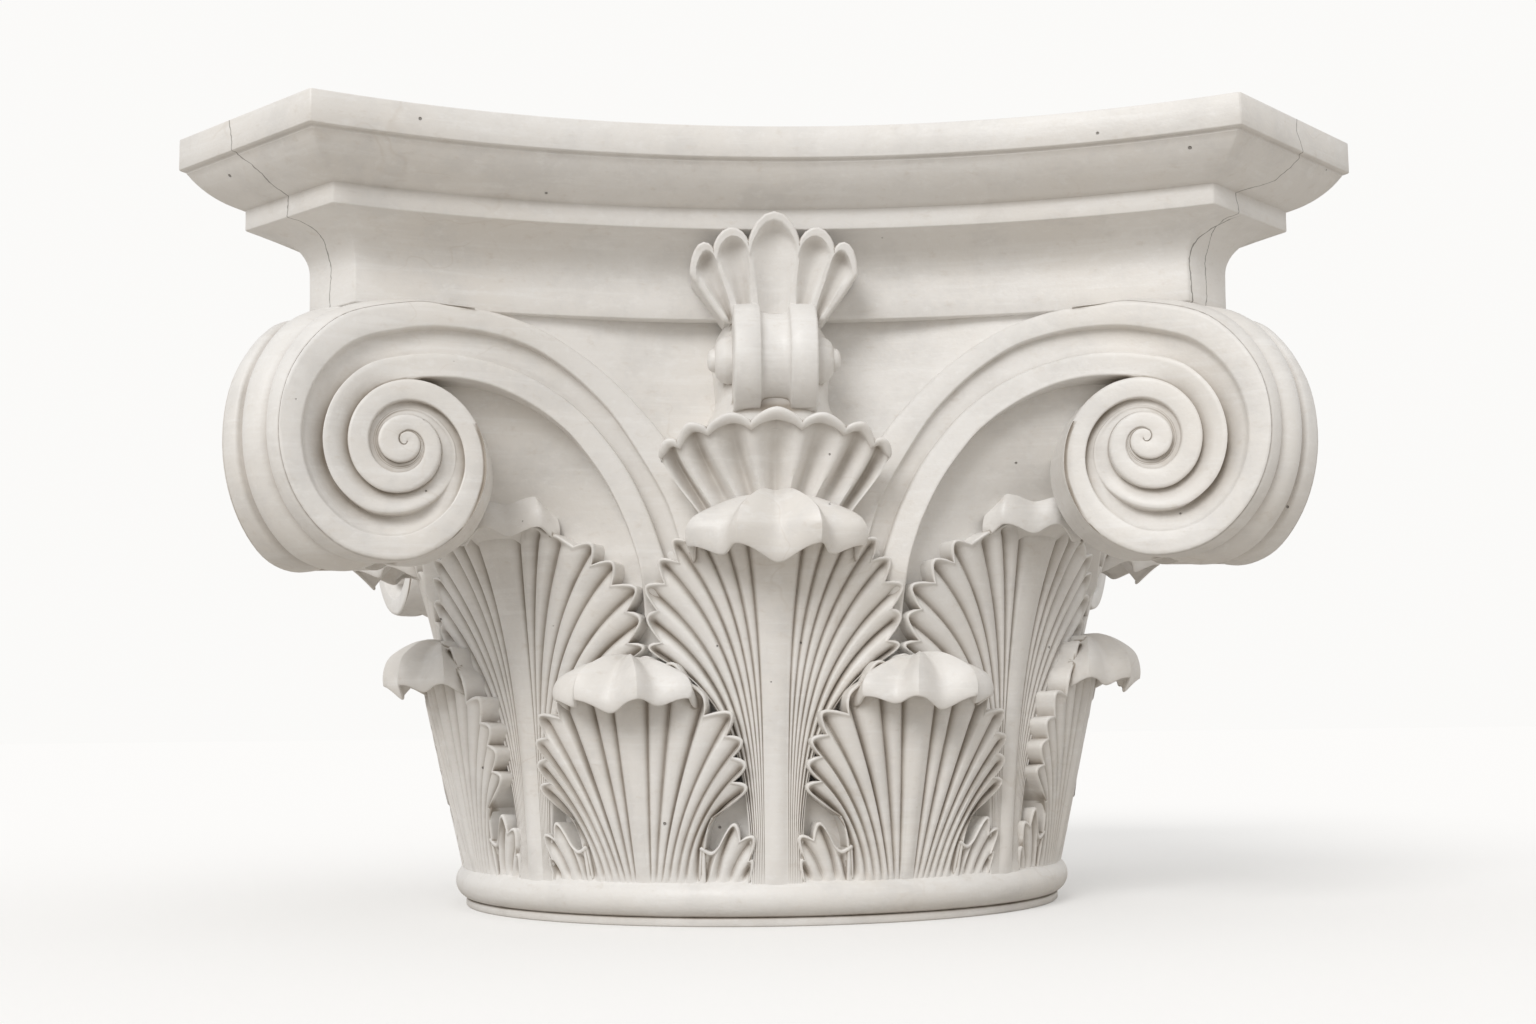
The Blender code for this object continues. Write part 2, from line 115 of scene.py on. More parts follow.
# Floor and light: colours, strengths and the sun's width in degrees
FLOOR_COLOUR = (0.80, 0.797, 0.792, 1.0)
FLOOR_BOUNCE = (0.53, 0.50, 0.46, 1.0)
FLOOR_SIZE = 60.0
FLOOR_GLOW = (0.211, 0.211, 0.209, 1.0)
SKY_SEEN = 0.965
SKY_SEEN_COLOUR = (1.0, 0.993, 0.978, 1.0)
SKY_LIGHT = 0.735
SKY_LIGHT_COLOUR = (1.0, 0.99, 0.978, 1.0)
KEY_STRENGTH = 1.34
KEY_COLOUR = (1.0, 0.995, 0.99)
KEY_ANGLE = 26.0
KEY_FROM = (-0.35, -0.80, 0.54)


def mix(start, end, share):
    """The value at a share of the way from start to end."""
    return start + (end - start) * share


def smooth(value, low, high):
    """0 below low, 1 above high, and an S curve between."""
    share = np.clip((value - low) / (high - low), 0.0, 1.0)
    return share * share * (3.0 - 2.0 * share)


def grid_of(x, y, z):
    """Points from their coordinates, which may be arrays of different shapes."""
    return np.stack(np.broadcast_arrays(x, y, z), -1)


def deselect():
    """Leave nothing selected, in object mode."""
    if bpy.context.object and bpy.context.object.mode != 'OBJECT':
        bpy.ops.object.mode_set(mode='OBJECT')
    bpy.ops.object.select_all(action='DESELECT')


def only(piece):
    """Select one piece and make it active."""
    deselect()
    piece.select_set(True)
    bpy.context.view_layer.objects.active = piece


def points_of(piece):
    """The piece's vertices as an array."""
    points = np.empty(len(piece.data.vertices) * 3)
    piece.data.vertices.foreach_get("co", points)
    return points.reshape(-1, 3)


def set_points(piece, points):
    """Move the piece's vertices to the points of an array."""
    piece.data.vertices.foreach_set("co", np.ascontiguousarray(points, dtype=np.float64).ravel())
    piece.data.update()


def shape_sheet(name, grid):
    """A sheet whose vertices lie on a grid of points: rows by columns by three."""
    rows, columns = grid.shape[:2]
    deselect()
    bpy.ops.mesh.primitive_grid_add(x_subdivisions=columns - 1, y_subdivisions=rows - 1, size=1.0)
    piece = bpy.context.object
    piece.name = name
    piece.data.name = name
    set_points(piece, grid.reshape(-1, 3))
    return piece


def weld(piece, distance=0.000003):
    """Join the seams and poles of a closed sheet, and turn its faces outward."""
    only(piece)
    bpy.ops.object.mode_set(mode='EDIT')
    bpy.ops.mesh.select_all(action='SELECT')
    bpy.ops.mesh.remove_doubles(threshold=distance)
    bpy.ops.mesh.dissolve_degenerate(threshold=distance)
    bpy.ops.mesh.select_all(action='SELECT')
    bpy.ops.mesh.normals_make_consistent(inside=False)
    bpy.ops.object.mode_set(mode='OBJECT')
    return piece


def copy_of(piece, name):
    """A copy with a mesh of its own."""
    copy = piece.copy()
    copy.data = piece.data.copy()
    copy.name = name
    copy.data.name = name
    bpy.context.scene.collection.objects.link(copy)
    return copy


def joined(pieces, name):
    """Several pieces made one object."""
    deselect()
    for piece in pieces:
        piece.select_set(True)
    bpy.context.view_layer.objects.active = pieces[0]
    bpy.ops.object.join()
    pieces[0].name = name
    pieces[0].data.name = name
    return pieces[0]


def ring_of(flat, name, indices, carry):
    """Copies of a piece, each carried to its place round the axis, and joined."""
    made = []
    for index in indices:
        copy = copy_of(flat, f"{name}_{index}")
        carry(copy, index)
        made.append(copy)
    bpy.data.objects.remove(flat, do_unlink=True)
    return joined(made, name)


def quarter_turn(piece, index):
    """Turn a piece of the front, or of its right corner, to another face or corner."""
    piece.data.transform(Matrix.Rotation(index * pi / 2.0, 4, 'Z'))


def open_directions(count=22):
    """Directions spread over a half sphere round Z, more of them near its middle."""
    index = np.arange(count) + 0.5
    out = np.sqrt(index / count)
    turn = index * pi * (3.0 - sqrt(5.0))
    return grid_of(out * np.cos(turn), out * np.sin(turn), np.sqrt(1.0 - out ** 2))


SHELTER_LIFT = 0.0002
SHELTER_FADE = 1.4


def shelter_for_painted_shade(piece, neighbour=None, reach=0.014):
    """Store how sheltered each point is, from 0 in the open to 1 deep in a hollow; the stone's colour paints
    shade from it.
    """
    shape = piece.data
    points = points_of(piece)
    around = points.tolist()
    faces = [tuple(face.vertices) for face in shape.polygons]
    if neighbour:
        around += points_of(neighbour).tolist()
        faces += [[len(points) + vertex for vertex in face.vertices] for face in neighbour.data.polygons]
    normals = np.empty(len(points) * 3)
    shape.vertex_normals.foreach_get("vector", normals)
    normals = normals.reshape(-1, 3)
    tree = BVHTree.FromPolygons(around, faces)
    helper = np.where(np.abs(normals[:, 2:]) < 0.9, (0.0, 0.0, 1.0), (1.0, 0.0, 0.0))
    side = np.cross(normals, helper)
    side /= np.maximum(np.linalg.norm(side, axis=1, keepdims=True), 1e-9)
    other = np.cross(normals, side)
    starts = points + normals * SHELTER_LIFT
    shelter = np.zeros(len(points))
    directions = open_directions()
    for across, along, out in directions:
        rays = side * across + other * along + normals * out
        for index, (start, ray) in enumerate(zip(starts.tolist(), rays.tolist())):
            distance = tree.ray_cast(start, ray, reach)[3]
            if distance is not None:
                shelter[index] += (1.0 - distance / reach) ** SHELTER_FADE
    layer = shape.attributes.new("shelter", 'FLOAT', 'POINT')
    layer.data.foreach_set("value", (shelter / len(directions)).astype(np.float32))
    return piece


def upper_front(z):
    """Distance from the axis to the fronts of the upper leaves."""
    rise = np.maximum(0.0, z - LEAF_FOOT_Z)
    return 0.2035 + 0.08 * rise + 2.47 * rise ** 3


def lower_front(z):
    """Distance from the axis to the fronts of the lower leaves."""
    return 0.204 + 0.2235 * (z - LEAF_FOOT_Z)


def cut_corner(inset):
    """Some way in from the edge of the plan: a face's radius, and where the cut corner meets it."""
    arc = FACE_ARC_RADIUS + inset
    corner_sum = sqrt(2.0) * (CORNER_DISTANCE - inset)
    rest = FACE_ARC_CENTRE - corner_sum
    half = (np.sqrt(2.0 * arc * arc - rest * rest) - rest) / 2.0
    return arc, corner_sum, half


def plan_radius(azimuth, inset):
    """Distance from the axis to the abacus plan at an azimuth, some way in from its edge."""
    arc, corner_sum, half = cut_corner(inset)
    turn = (azimuth + pi / 4.0) % (pi / 2.0) - pi / 4.0
    on_corner = corner_sum / (np.abs(np.sin(turn)) + np.cos(turn))
    under = np.maximum(0.0, arc * arc - (FACE_ARC_CENTRE * np.sin(turn)) ** 2)
    on_face = FACE_ARC_CENTRE * np.cos(turn) - np.sqrt(under)
    return np.where(np.abs(turn) > np.arctan2(half, corner_sum - half), on_corner, on_face)


def ground_radius(azimuth, z):
    """Distance from the axis to the ground behind the carving."""
    turn = (azimuth + pi / 4.0) % (pi / 2.0) - pi / 4.0
    inset = mix(0.074, 0.066, smooth(np.abs(turn), radians(15.0), radians(32.0)))
    ring = upper_front(np.minimum(z, 0.215)) - GROUND_SINK
    return mix(ring, plan_radius(azimuth, inset), smooth(z, ROUND_TOP, SQUARE_FROM))


def around_axis(radius, azimuth, z):
    """Points by their distance from the axis, their azimuth from the front and their height."""
    return grid_of(radius * np.sin(azimuth), -radius * np.cos(azimuth), z)


def face_point(along, inset, z):
    """A point of the front's concave face, by its distance along the arc from the middle."""
    arc = FACE_ARC_RADIUS + inset
    angle = along / arc
    return grid_of(arc * np.sin(angle), arc * np.cos(angle) - FACE_ARC_CENTRE, z)


def make_bell():
    """Foot, torus and the ground behind the leaves, from the underside up into the abacus."""
    profile = [(0.0, 0.0), (0.10, 0.0), (0.17, 0.0), (FOOT_RADIUS - 0.0008, 0.0), (FOOT_RADIUS, 0.0008)]
    profile += [(FOOT_RADIUS, FOOT_HEIGHT - 0.0006), (FOOT_RADIUS - 0.0006, FOOT_HEIGHT)]
    for degrees in range(-80, 151, 10):
        angle = radians(degrees)
        profile.append((TORUS_RADIUS + TORUS_SECTION * cos(angle), TORUS_Z + TORUS_SECTION * sin(angle)))
    azimuth = np.linspace(0.0, 2.0 * pi, 241)
    rows = [around_axis(radius, azimuth, z) for radius, z in profile]
    levels = np.linspace(BELL_FOOT, BELL_TOP, 90)
    rows += [around_axis(ground_radius(azimuth, z), azimuth, z) for z in levels]
    rows.append(around_axis(0.0, azimuth, BELL_TOP))
    return [shelter_for_painted_shade(weld(shape_sheet("foot_and_bell", np.array(rows))))]


def abacus_ring(inset, z, steps=40):
    """One level of the abacus, with arrises a little rounded at its eight corners."""
    arc, _, half = cut_corner(inset)
    reach = arc * np.arcsin(half / arc)
    soft = 0.0012
    along = np.concatenate([[-reach], np.linspace(-reach + soft, reach - soft, steps), [reach]])
    face = face_point(along, inset, z)
    end = face[-1].copy()
    start = np.array([-face[0][1], face[0][0], z])
    step = (start - end) / np.linalg.norm(start - end)
    cut = np.array([end + step * soft, start - step * soft])
    face[-1] = (face[-2] + cut[0] + end) / 3.0
    face[0] = (face[1] + (cut[1][1], -cut[1][0], z) + face[0]) / 3.0
    chamfer = end + (start - end) * np.linspace(0.0, 1.0, 8)[2:-2, None]
    quarter = np.concatenate([face, cut[:1], chamfer, cut[1:]])
    ring = []
    for side in range(4):
        turn = np.array(Matrix.Rotation(side * pi / 2.0, 3, 'Z'))
        ring.append(quarter @ turn.T)
    ring.append(ring[0][:1])
    return np.concatenate(ring)


def lower_arris(inset, z):
    """The rounded lower arris of a flat band."""
    return [(inset, z + ARRIS), (inset + 0.0003, z + 0.0002), (inset + ARRIS, z)]


def abacus_levels():
    """Inset and height down the abacus: fascia, ovolo, fillet, cavetto and neck."""
    levels = [(ARRIS, ABACUS_TOP), (0.0002, ABACUS_TOP - 0.0002), (0.0, ABACUS_TOP - ARRIS), (0.0, 0.446)]
    levels += lower_arris(0.0, FASCIA_FOOT)
    levels += [(0.0030, 0.4352), (0.0034, 0.4346), (0.0035, 0.4336)]
    first = radians(OVOLO_START)
    for degrees in range(OVOLO_START, 16, -4):
        angle = radians(degrees)
        out = OVOLO_RADIUS * (sin(first) - sin(angle))
        levels.append((0.0038 + out, 0.4334 - OVOLO_RADIUS * (cos(angle) - cos(first))))
    levels += [(FILLET_INSET - 0.0001, 0.4133), (FILLET_INSET, 0.410)]
    levels += lower_arris(FILLET_INSET, FILLET_FOOT)
    levels.append((0.0322, 0.4015))
    for degrees in range(6, 91, 6):
        angle = radians(degrees)
        levels.append((0.032 + CAVETTO_WIDTH * sin(angle), 0.377 + CAVETTO_HEIGHT * cos(angle)))
    levels.append((NECK_INSET, 0.365))
    levels += lower_arris(NECK_INSET, NECK_FOOT)
    return levels + [(0.070, NECK_FOOT), (0.078, 0.3575)]


def make_abacus():
    """The moulded slab on top, closed flat above and below."""
    rows = [abacus_ring(inset, z) for inset, z in abacus_levels()]
    top = [rows[0] * (share, share, 1.0) for share in (0.0, 0.5)]
    bottom = [rows[-1] * (share, share, 1.0) for share in (0.5, 0.0)]
    return [shelter_for_painted_shade(weld(shape_sheet("abacus", np.array(top + rows + bottom))))]


# Places of the lines across a flute and across a petal
FLUTE_SHARES = np.array([0.0, 0.12, 0.24, 0.35, 0.44, 0.5, 0.56, 0.65, 0.76, 0.88, 1.0])
PETAL_SHARES = np.array([0.0, 0.04, 0.09, 0.16, 0.26, 0.38, 0.5, 0.62, 0.74, 0.84, 0.91, 0.96, 1.0])


def fan_of(feet, notches, tips, powers, settles, depth, rows=40, pointed=2.0, bead=0.0010, ridge=0.0003,
           steep=2.2, deepest=0.0066, grooved=True, shares=FLUTE_SHARES):
    """A fan of flutes that each end in a lobe with a raised bead round its edge: grids of x, z and depth.

    On a leaf a sharp groove runs down from each lobe between round ridges; a petal is hollow like a spoon.
    Each line leaves its foot upright, turns outward and ends on the outline of its lobe, a conic drawn
    towards the tip. In this flat leaf space x runs across the leaf, z up it and y back into the stone.
    """
    along = (1.0 - (1.0 - np.linspace(0.0, 1.0, rows)) ** 1.7)[:, None]
    right = shares[:, None]
    weights = ((1.0 - right) ** 2, 2.0 * pointed * right * (1.0 - right), right ** 2)
    flutes = []
    for index, tip in enumerate(np.array(tips)):
        start, stop = np.array(notches[index:index + 2])
        pull = tip + (tip - (start + stop) / 2.0) / pointed
        ends = (weights[0] * start + weights[1] * pull + weights[2] * stop) / sum(weights)
        foot = mix(np.array(feet[index]), np.array(feet[index + 1]), right)
        settle = mix(settles[index], settles[index + 1], shares)
        rise = (1.0 - settle) * along + settle * (1.0 - (1.0 - along) ** 2)
        x = mix(foot[:, 0], ends[:, 0], along ** mix(powers[index], powers[index + 1], shares))
        z = mix(foot[:, 1], ends[:, 1], rise)
        width = np.hypot(x[:, -1] - x[:, 0], z[:, -1] - z[:, 0])[:, None]
        room = np.maximum(width * 0.5 - ridge, 0.2 * width)
        to_side = np.maximum(0.0, np.minimum(shares, 1.0 - shares)[None, :] * width - (width * 0.5 - room))
        length = np.hypot(np.diff(x, axis=0), np.diff(z, axis=0))
        to_tip = np.concatenate([np.cumsum(length[::-1], axis=0)[::-1], np.zeros((1, len(shares)))])
        inside = steep * np.maximum(0.0, to_tip - 0.9 * bead)
        if grooved:
            to_groove = np.clip(to_side / (room + 1e-6), 0.0, 1.0)
            hollow = to_groove ** 1.35 * (1.0 - (1.0 - np.clip(inside / 0.009, 0.0, 1.0)) ** 2.0)
            hollow = hollow * smooth(z, LEAF_ROOT_Z + 0.003, LEAF_ROOT_Z + 0.011)
        else:
            near = 1.0 / (1.0 / (to_side + 1e-6) ** 4 + 1.0 / (inside + 1e-6) ** 4) ** 0.25
            hollow = 1.0 - (1.0 - np.clip(near / (room + 1e-6), 0.0, 1.0)) ** 2.0
        raised = min(0.9 * bead, 0.0012) * (1.0 - smooth(to_tip, 0.8 * bead, 1.8 * bead))
        sink = np.minimum(depth * width, deepest) * hollow - raised
        first = 1 if flutes else 0
        flutes.append([part[:, first:] for part in (x, z, sink)])
    return [np.concatenate(parts, axis=1) for parts in zip(*flutes)]


def blade_grid(fan, rib_swell):
    """Flat grid of a whole blade: both halves of the fan and the midrib between them."""
    x, z, sink = fan
    shares = np.linspace(-1.0, 1.0, 11)[None, 1:-1]
    rib_x = x[:, :1] * shares
    rib_z = z[:, :1] + 0.0 * rib_x
    along = np.linspace(0.0, 1.0, len(x))[:, None]
    swell = mix(rib_swell[0], rib_swell[1], along)
    swell = swell * smooth(rib_z, LEAF_ROOT_Z + 0.003, LEAF_ROOT_Z + 0.016)
    rib_sink = sink[:, :1] * np.abs(shares) ** 6 - swell * (1.0 - shares ** 2)
    return grid_of(np.concatenate([-x[:, ::-1], rib_x, x], axis=1),
                   np.concatenate([sink[:, ::-1], rib_sink, sink], axis=1),
                   np.concatenate([z[:, ::-1], rib_z, z], axis=1))


def stored(shape, piece):
    """Turn a shape's faces outward and make it the piece's mesh."""
    bmesh.ops.recalc_face_normals(shape, faces=shape.faces[:])
    shape.to_mesh(piece.data)
    shape.free()
    return piece


def outline_normals(loop):
    """Outward normals of a flat loop of points in x and z."""
    ahead = np.roll(loop, -1, axis=0) - np.roll(loop, 1, axis=0)
    normal = np.stack([ahead[:, 1], -ahead[:, 0]], -1)
    size = np.linalg.norm(normal, axis=1, keepdims=True)
    return normal / np.maximum(size, 1e-9)


def grid_loop(rows, columns):
    """Indices of a grid's border, anticlockwise from its first corner."""
    loop = [(0, j) for j in range(columns)]
    loop += [(i, columns - 1) for i in range(1, rows)]
    loop += [(rows - 1, j) for j in range(columns - 2, -1, -1)]
    loop += [(i, 0) for i in range(rows - 2, 0, -1)]
    return loop


EDGE_ROUND = ((0.00045, 0.00018), (0.0009, 0.0008), (0.0010, 0.0018), (0.0006, 0.008))
PETAL_ROUND = ((0.0007, 0.0003), (0.0013, 0.0010), (0.0016, 0.0021), (0.0012, 0.0040), (0.0006, 0.009))


def thick(name, grid, back, rounding=EDGE_ROUND):
    """A closed solid in leaf space: the carved sheet, rounded edges, side walls and a flat back."""
    rows, columns = grid.shape[:2]
    piece = shape_sheet(name, grid)
    loop = grid_loop(rows, columns)
    front = np.array([grid[i, j] for i, j in loop])
    normals = outline_normals(front[:, [0, 2]])
    shape = bmesh.new()
    shape.from_mesh(piece.data)
    shape.verts.ensure_lookup_table()
    last = [shape.verts[i * columns + j] for i, j in loop]
    count = len(last)
    rings = [front + grid_of(normals[:, 0] * out, deep, normals[:, 1] * out) for out, deep in rounding]
    rings.append(rings[-1] * (1.0, 0.0, 1.0) + (0.0, back, 0.0))
    for ring in rings:
        made = [shape.verts.new(point) for point in ring]
        for k in range(count):
            n = (k + 1) % count
            shape.faces.new((last[n], last[k], made[k], made[n]))
        last = made
    middle = shape.verts.new(ring.mean(axis=0))
    for k in range(count):
        n = (k + 1) % count
        shape.faces.new((last[n], last[k], middle))
    bmesh.ops.remove_doubles(shape, verts=shape.verts[:], dist=0.00001)
    return stored(shape, piece)


def lower_blade():
    """The fluted blade of a lower leaf, flat."""
    feet = [(x, LEAF_ROOT_Z) for x in (0.0036, 0.0058, 0.0094, 0.0134, 0.0188, 0.0240, 0.0300, 0.0396)]
    notches = [(0.0048, 0.150), (0.0192, 0.146), (0.0350, 0.138), (0.0440, 0.1195), (0.0555, 0.1085)]
    notches += [(0.0588, 0.0965), (0.0586, 0.0825), (0.0462, 0.0630)]
    tips = [(0.0122, 0.153), (0.0275, 0.149), (0.0440, 0.1310), (0.0590, 0.1210), (0.0645, 0.1055)]
    tips += [(0.0662, 0.0920), (0.0662, 0.0780)]
    powers = [1.0, 1.05, 1.1, 1.3, 1.5, 1.55, 1.8, 3.2]
    settles = [0.0, 0.0, 0.0, 0.05, 0.15, 0.2, 0.25, 0.3]
    fan = fan_of(feet, notches, tips, powers, settles, 0.40)
    return thick("lower_blade", blade_grid(fan, (0.0014, 0.0004)), LOWER_BACK)


def leaflet():
    """The small three-lobed leaflet at the foot of a lower leaf, flat, on its right side."""
    feet = [(x, LEAF_ROOT_Z) for x in (0.0365, 0.0425, 0.0505, 0.0580, 0.0660)]
    notches = [(0.0385, 0.0455), (0.0500, 0.0462), (0.0622, 0.0490), (0.0672, 0.0380), (0.0660, 0.0225)]
    tips = [(0.0448, 0.0425), (0.0588, 0.0585), (0.0705, 0.0508), (0.0695, 0.0360)]
    powers = [1.6, 1.7, 1.8, 1.6, 1.4]
    settles = [0.0, 0.0, 0.1, 0.2, 0.3]
    x, z, sink = fan_of(feet, notches, tips, powers, settles, 0.38, rows=22, pointed=1.7)
    return thick("leaflet", grid_of(x, sink + 0.0008, z), LOWER_BACK)


def upper_blade(spread, gathered):
    """The fluted blade of an upper leaf, flat, with its stem down to the torus.

    The first lobes of a corner leaf are gathered in under its head.
    """
    feet = [(0.0074 + 0.0011 * i, LEAF_ROOT_Z) for i in range(9)]
    notches = [(0.0105, 0.2380), (0.0265, 0.2360), (0.0400, 0.2310), (0.0480, 0.2215), (0.0556, 0.2105)]
    notches += [(0.0646, 0.1985), (0.0705, 0.1835), (0.0697, 0.1650), (0.0600, 0.1500)]
    tips = [(0.0190, 0.2400), (0.0340, 0.2390), (0.0470, 0.2330), (0.0575, 0.2225), (0.0668, 0.2115)]
    tips += [(0.0768, 0.1965), (0.0775, 0.1785), (0.0775, 0.1615)]
    notches = [(x * spread * (1.0 - gathered * (z > 0.23)), z) for x, z in notches]
    tips = [(x * spread * (1.0 - gathered * (z > 0.23)), z - 0.03 * gathered * (z > 0.23)) for x, z in tips]
    powers = [3.6, 3.3, 3.0, 2.8, 2.6, 2.5, 2.4, 2.35, 2.5]
    settles = [0.0, 0.0, 0.05, 0.12, 0.2, 0.28, 0.36, 0.42, 0.42]
    fan = fan_of(feet, notches, tips, powers, settles, 0.40, rows=46)
    return thick("upper_blade", blade_grid(fan, (0.0026, 0.0002)), UPPER_BACK)


LIP_ROUND = ((0.0003, -0.0005), (0.0009, -0.0008), (0.0016, -0.0006), (0.0021, 0.0002), (0.0025, 0.0016))


def leaf_head(name, half_width, reach, top, lip_z, drop, lift, fold):
    """The head of a leaf curled forward: soft lobes between creases, a wavy hanging lip, hollow below.

    Like the blade it is modelled in leaf space, where y is measured back from the leaf's face.
    """
    turn = np.linspace(-pi / 2.0, pi / 2.0, 81)[None, :]
    lobe = np.sin(4.0 * turn) ** 2
    puff = (0.56 - np.abs(np.cos(4.0 * turn)) ** 1.15) * (1.0 - 0.6 * np.sin(turn) ** 4)
    across = mix(np.sin(turn), turn / (pi / 2.0), 0.35)
    curl = radians(106.0)
    angle = np.linspace(0.0, curl, 26)[:, None]
    swell = (top - lip_z) / (1.0 - cos(curl))
    fade = smooth(angle, 0.0, 0.36)
    low = smooth(angle, 0.6, 1.8)
    out = np.sin(angle) ** 0.9 + 0.07 * smooth(angle, 1.25, 1.95)
    size = 1.0 + fold * puff * fade * (1.0 - 0.45 * low)
    x = half_width * 0.98 * across * out * size
    y = HEAD_ROOT - (reach + HEAD_ROOT) * np.abs(np.cos(turn)) ** 0.85 * out * size
    arch = drop * lobe * (1.0 - 0.35 * np.sin(turn) ** 4)
    side_lift = lift * 0.6 * (np.sin(2.0 * turn) ** 2 + np.sin(turn) ** 2)
    z = top - swell * (1.0 - np.cos(angle)) + (arch + side_lift) * low
    z = z + 0.0022 * puff * fade * np.maximum(0.0, np.cos(angle))
    z = z - 0.10 * swell * np.abs(np.sin(turn)) ** 4 * (1.0 - low)
    lip = (x[-1:], y[-1:], z[-1:])
    rows = [grid_of(x, y, z)]
    for inward, up in LIP_ROUND:
        share = 1.0 - inward / np.hypot(lip[0], lip[1] - HEAD_ROOT)
        rows.append(grid_of(lip[0] * share, mix(HEAD_ROOT, lip[1], share), lip[2] + up))
    inner = rows[-1][0]
    rise = 0.30 * (top - lip_z)
    for share in np.linspace(0.12, 1.0, 10):
        level = mix(inner[:, 2], lip_z + drop + rise, sin(share * pi / 2.0))
        narrower = inner[:, 0] * (1.0 - 0.15 * share ** 2)
        rows.append(grid_of(narrower, mix(inner[:, 1], 0.006, share), level)[None])
    rows.append(rows[-1] * (1.0, 0.0, 1.0) + (0.0, 0.014, 0.0))
    return closed_by_ends(shape_sheet(name, np.concatenate(rows)))


def closed_by_ends(piece, distance=0.00001):
    """Close each open border of a sheet with a fan of triangles, and turn the faces outward."""
    shape = bmesh.new()
    shape.from_mesh(piece.data)
    bmesh.ops.remove_doubles(shape, verts=shape.verts[:], dist=distance)
    border = [edge for edge in shape.edges if edge.is_boundary]
    ends = bmesh.ops.holes_fill(shape, edges=border, sides=0)["faces"]
    bmesh.ops.poke(shape, faces=ends)
    return stored(shape, piece)


def bend_round(piece, azimuth, front, reach, ceiling, rise=0.0, rise_from=0.03, rise_to=0.14):
    """Carry a piece from leaf space onto the bell at an azimuth."""
    flat = points_of(piece)
    z = flat[:, 2] + rise * np.clip((flat[:, 2] - rise_from) / (rise_to - rise_from), 0.0, 1.4)
    radius = front(np.minimum(z, ceiling)) - flat[:, 1]
    turn = azimuth + flat[:, 0] / reach
    set_points(piece, around_axis(radius, turn, z))
    return piece


def carry_lower(piece, index):
    """Bend a piece of a lower leaf round the bell."""
    azimuth = radians(22.5 + 45.0 * index)
    rise = SIDE_RISE * sin(azimuth) ** 2
    bend_round(piece, azimuth, lower_front, LOWER_REACH, LOWER_CEILING + rise, rise)


def carry_upper(piece, index):
    """Bend a piece of an upper leaf round the bell; the leaves of the side faces stand a little higher."""
    azimuth = radians(45.0 * index)
    rise = 0.0 if index % 2 else CENTRE_RISE * sin(azimuth) ** 2
    bend_round(piece, azimuth, upper_front, UPPER_REACH, UPPER_CEILING, rise, 0.16, 0.26)


def make_lower_leaves():
    """Eight lower leaves round the foot of the bell, and their heads."""
    right = leaflet()
    left = copy_of(right, "leaflet_left")
    set_points(left, points_of(left) * (-1.0, 1.0, 1.0))
    weld(left)
    leaf = joined([lower_blade(), right, left], "lower_leaf")
    head = leaf_head("lower_head", 0.0420, 0.0270, 0.1552, 0.1225, 0.0060, 0.004, 0.45)
    shelter_for_painted_shade(leaf, head)
    shelter_for_painted_shade(head, leaf)
    return [ring_of(leaf, "lower_leaves", range(8), carry_lower),
            ring_of(head, "lower_heads", range(8), carry_lower)]


def make_upper_leaves():
    """Eight upper leaves, one on each face and one under each corner volute, and their heads."""
    leaves = []
    heads = []
    centre = ((1.0, 0.0), (0.0500, 0.0370, 0.2510, 0.2075, 0.0078, 0.006, 0.45))
    corner = ((1.26, 0.15), (0.0505, 0.0250, 0.2685, 0.2255, 0.0075, 0.004, 0.30))
    for first, (blade_shape, head_shape) in enumerate((centre, corner)):
        leaf = upper_blade(*blade_shape)
        head = leaf_head("upper_head", *head_shape)
        shelter_for_painted_shade(leaf, head)
        shelter_for_painted_shade(head, leaf)
        leaves.append(ring_of(leaf, f"upper_leaves_{first}", range(first, 8, 2), carry_upper))
        heads.append(ring_of(head, f"upper_heads_{first}", range(first, 8, 2), carry_upper))
    return [joined(leaves, "upper_leaves"), joined(heads, "upper_heads")]


# The ribbon from its foot up to the volute's top, in millimetres along the face and up. Each row crosses
# it: its outer edge, the inner edge of its band, the second line and its inner edge.
RIBBON = (((34, 180), (48, 180), (60, 180), (76, 180)), ((38, 205), (51, 205), (62, 205), (78, 205)),
          ((44, 240), (56.5, 228), (69, 228), (83, 224)), ((53, 265), (63, 247), (76, 246), (90, 242)),
          ((65, 286), (74, 267), (87, 267), (100, 260.5)),
          ((80, 303.5), (91, 293), (101, 285.5), (113.5, 278.5)),
          ((97, 320), (105.5, 309), (113, 298), (123, 288)),
          ((115, 333), (122, 322.5), (129, 309.3), (136, 297)),
          ((136, 344), (141, 333), (146, 317.5), (151, 304.5)),
          ((160, 350.6), (163, 338.4), (165, 322.6), (167, 309.5)),
          ((185, 352.5), (186, 339.8), (186, 325.0), (186, 311.3)))

# The volute from its top inward: distances in millimetres from its eye, one for every 30 degrees
STEPS_ROUND = 12
VOLUTE_EYE = (0.2096, 0.2735)
OUTER_EDGE = (79.2, 78.0, 74.4, 70.9, 69.3, 68.6, 65.0, 57.3, 49.3, 43.2, 39.2, 36.9, 35.4, 34.3, 33.6, 33.1,
              32.6, 31.0, 27.5, 23.8, 20.8, 18.6, 17.0, 15.9, 15.5, 15.7, 16.2, 16.3, 15.3, 13.2, 11.0, 9.4,
              8.3, 7.5, 6.9, 6.3, 5.7, 5.1, 4.5, 3.6, 2.5, 1.3, 0.3)
BAND_EDGE = (64.0, 62.0, 59.8, 58.2, 57.4, 55.9, 51.0, 43.2, 36.0, 30.8, 27.2, 24.9, 23.5, 22.6, 21.9, 21.3,
             20.6, 19.0, 16.2, 13.4, 10.9, 9.0, 7.8, 6.9, 6.2)
SECOND_EDGE = (49.5, 48.3, 47.5, 47.2, 46.6, 44.2, 39.0, 34.0, 29.0)


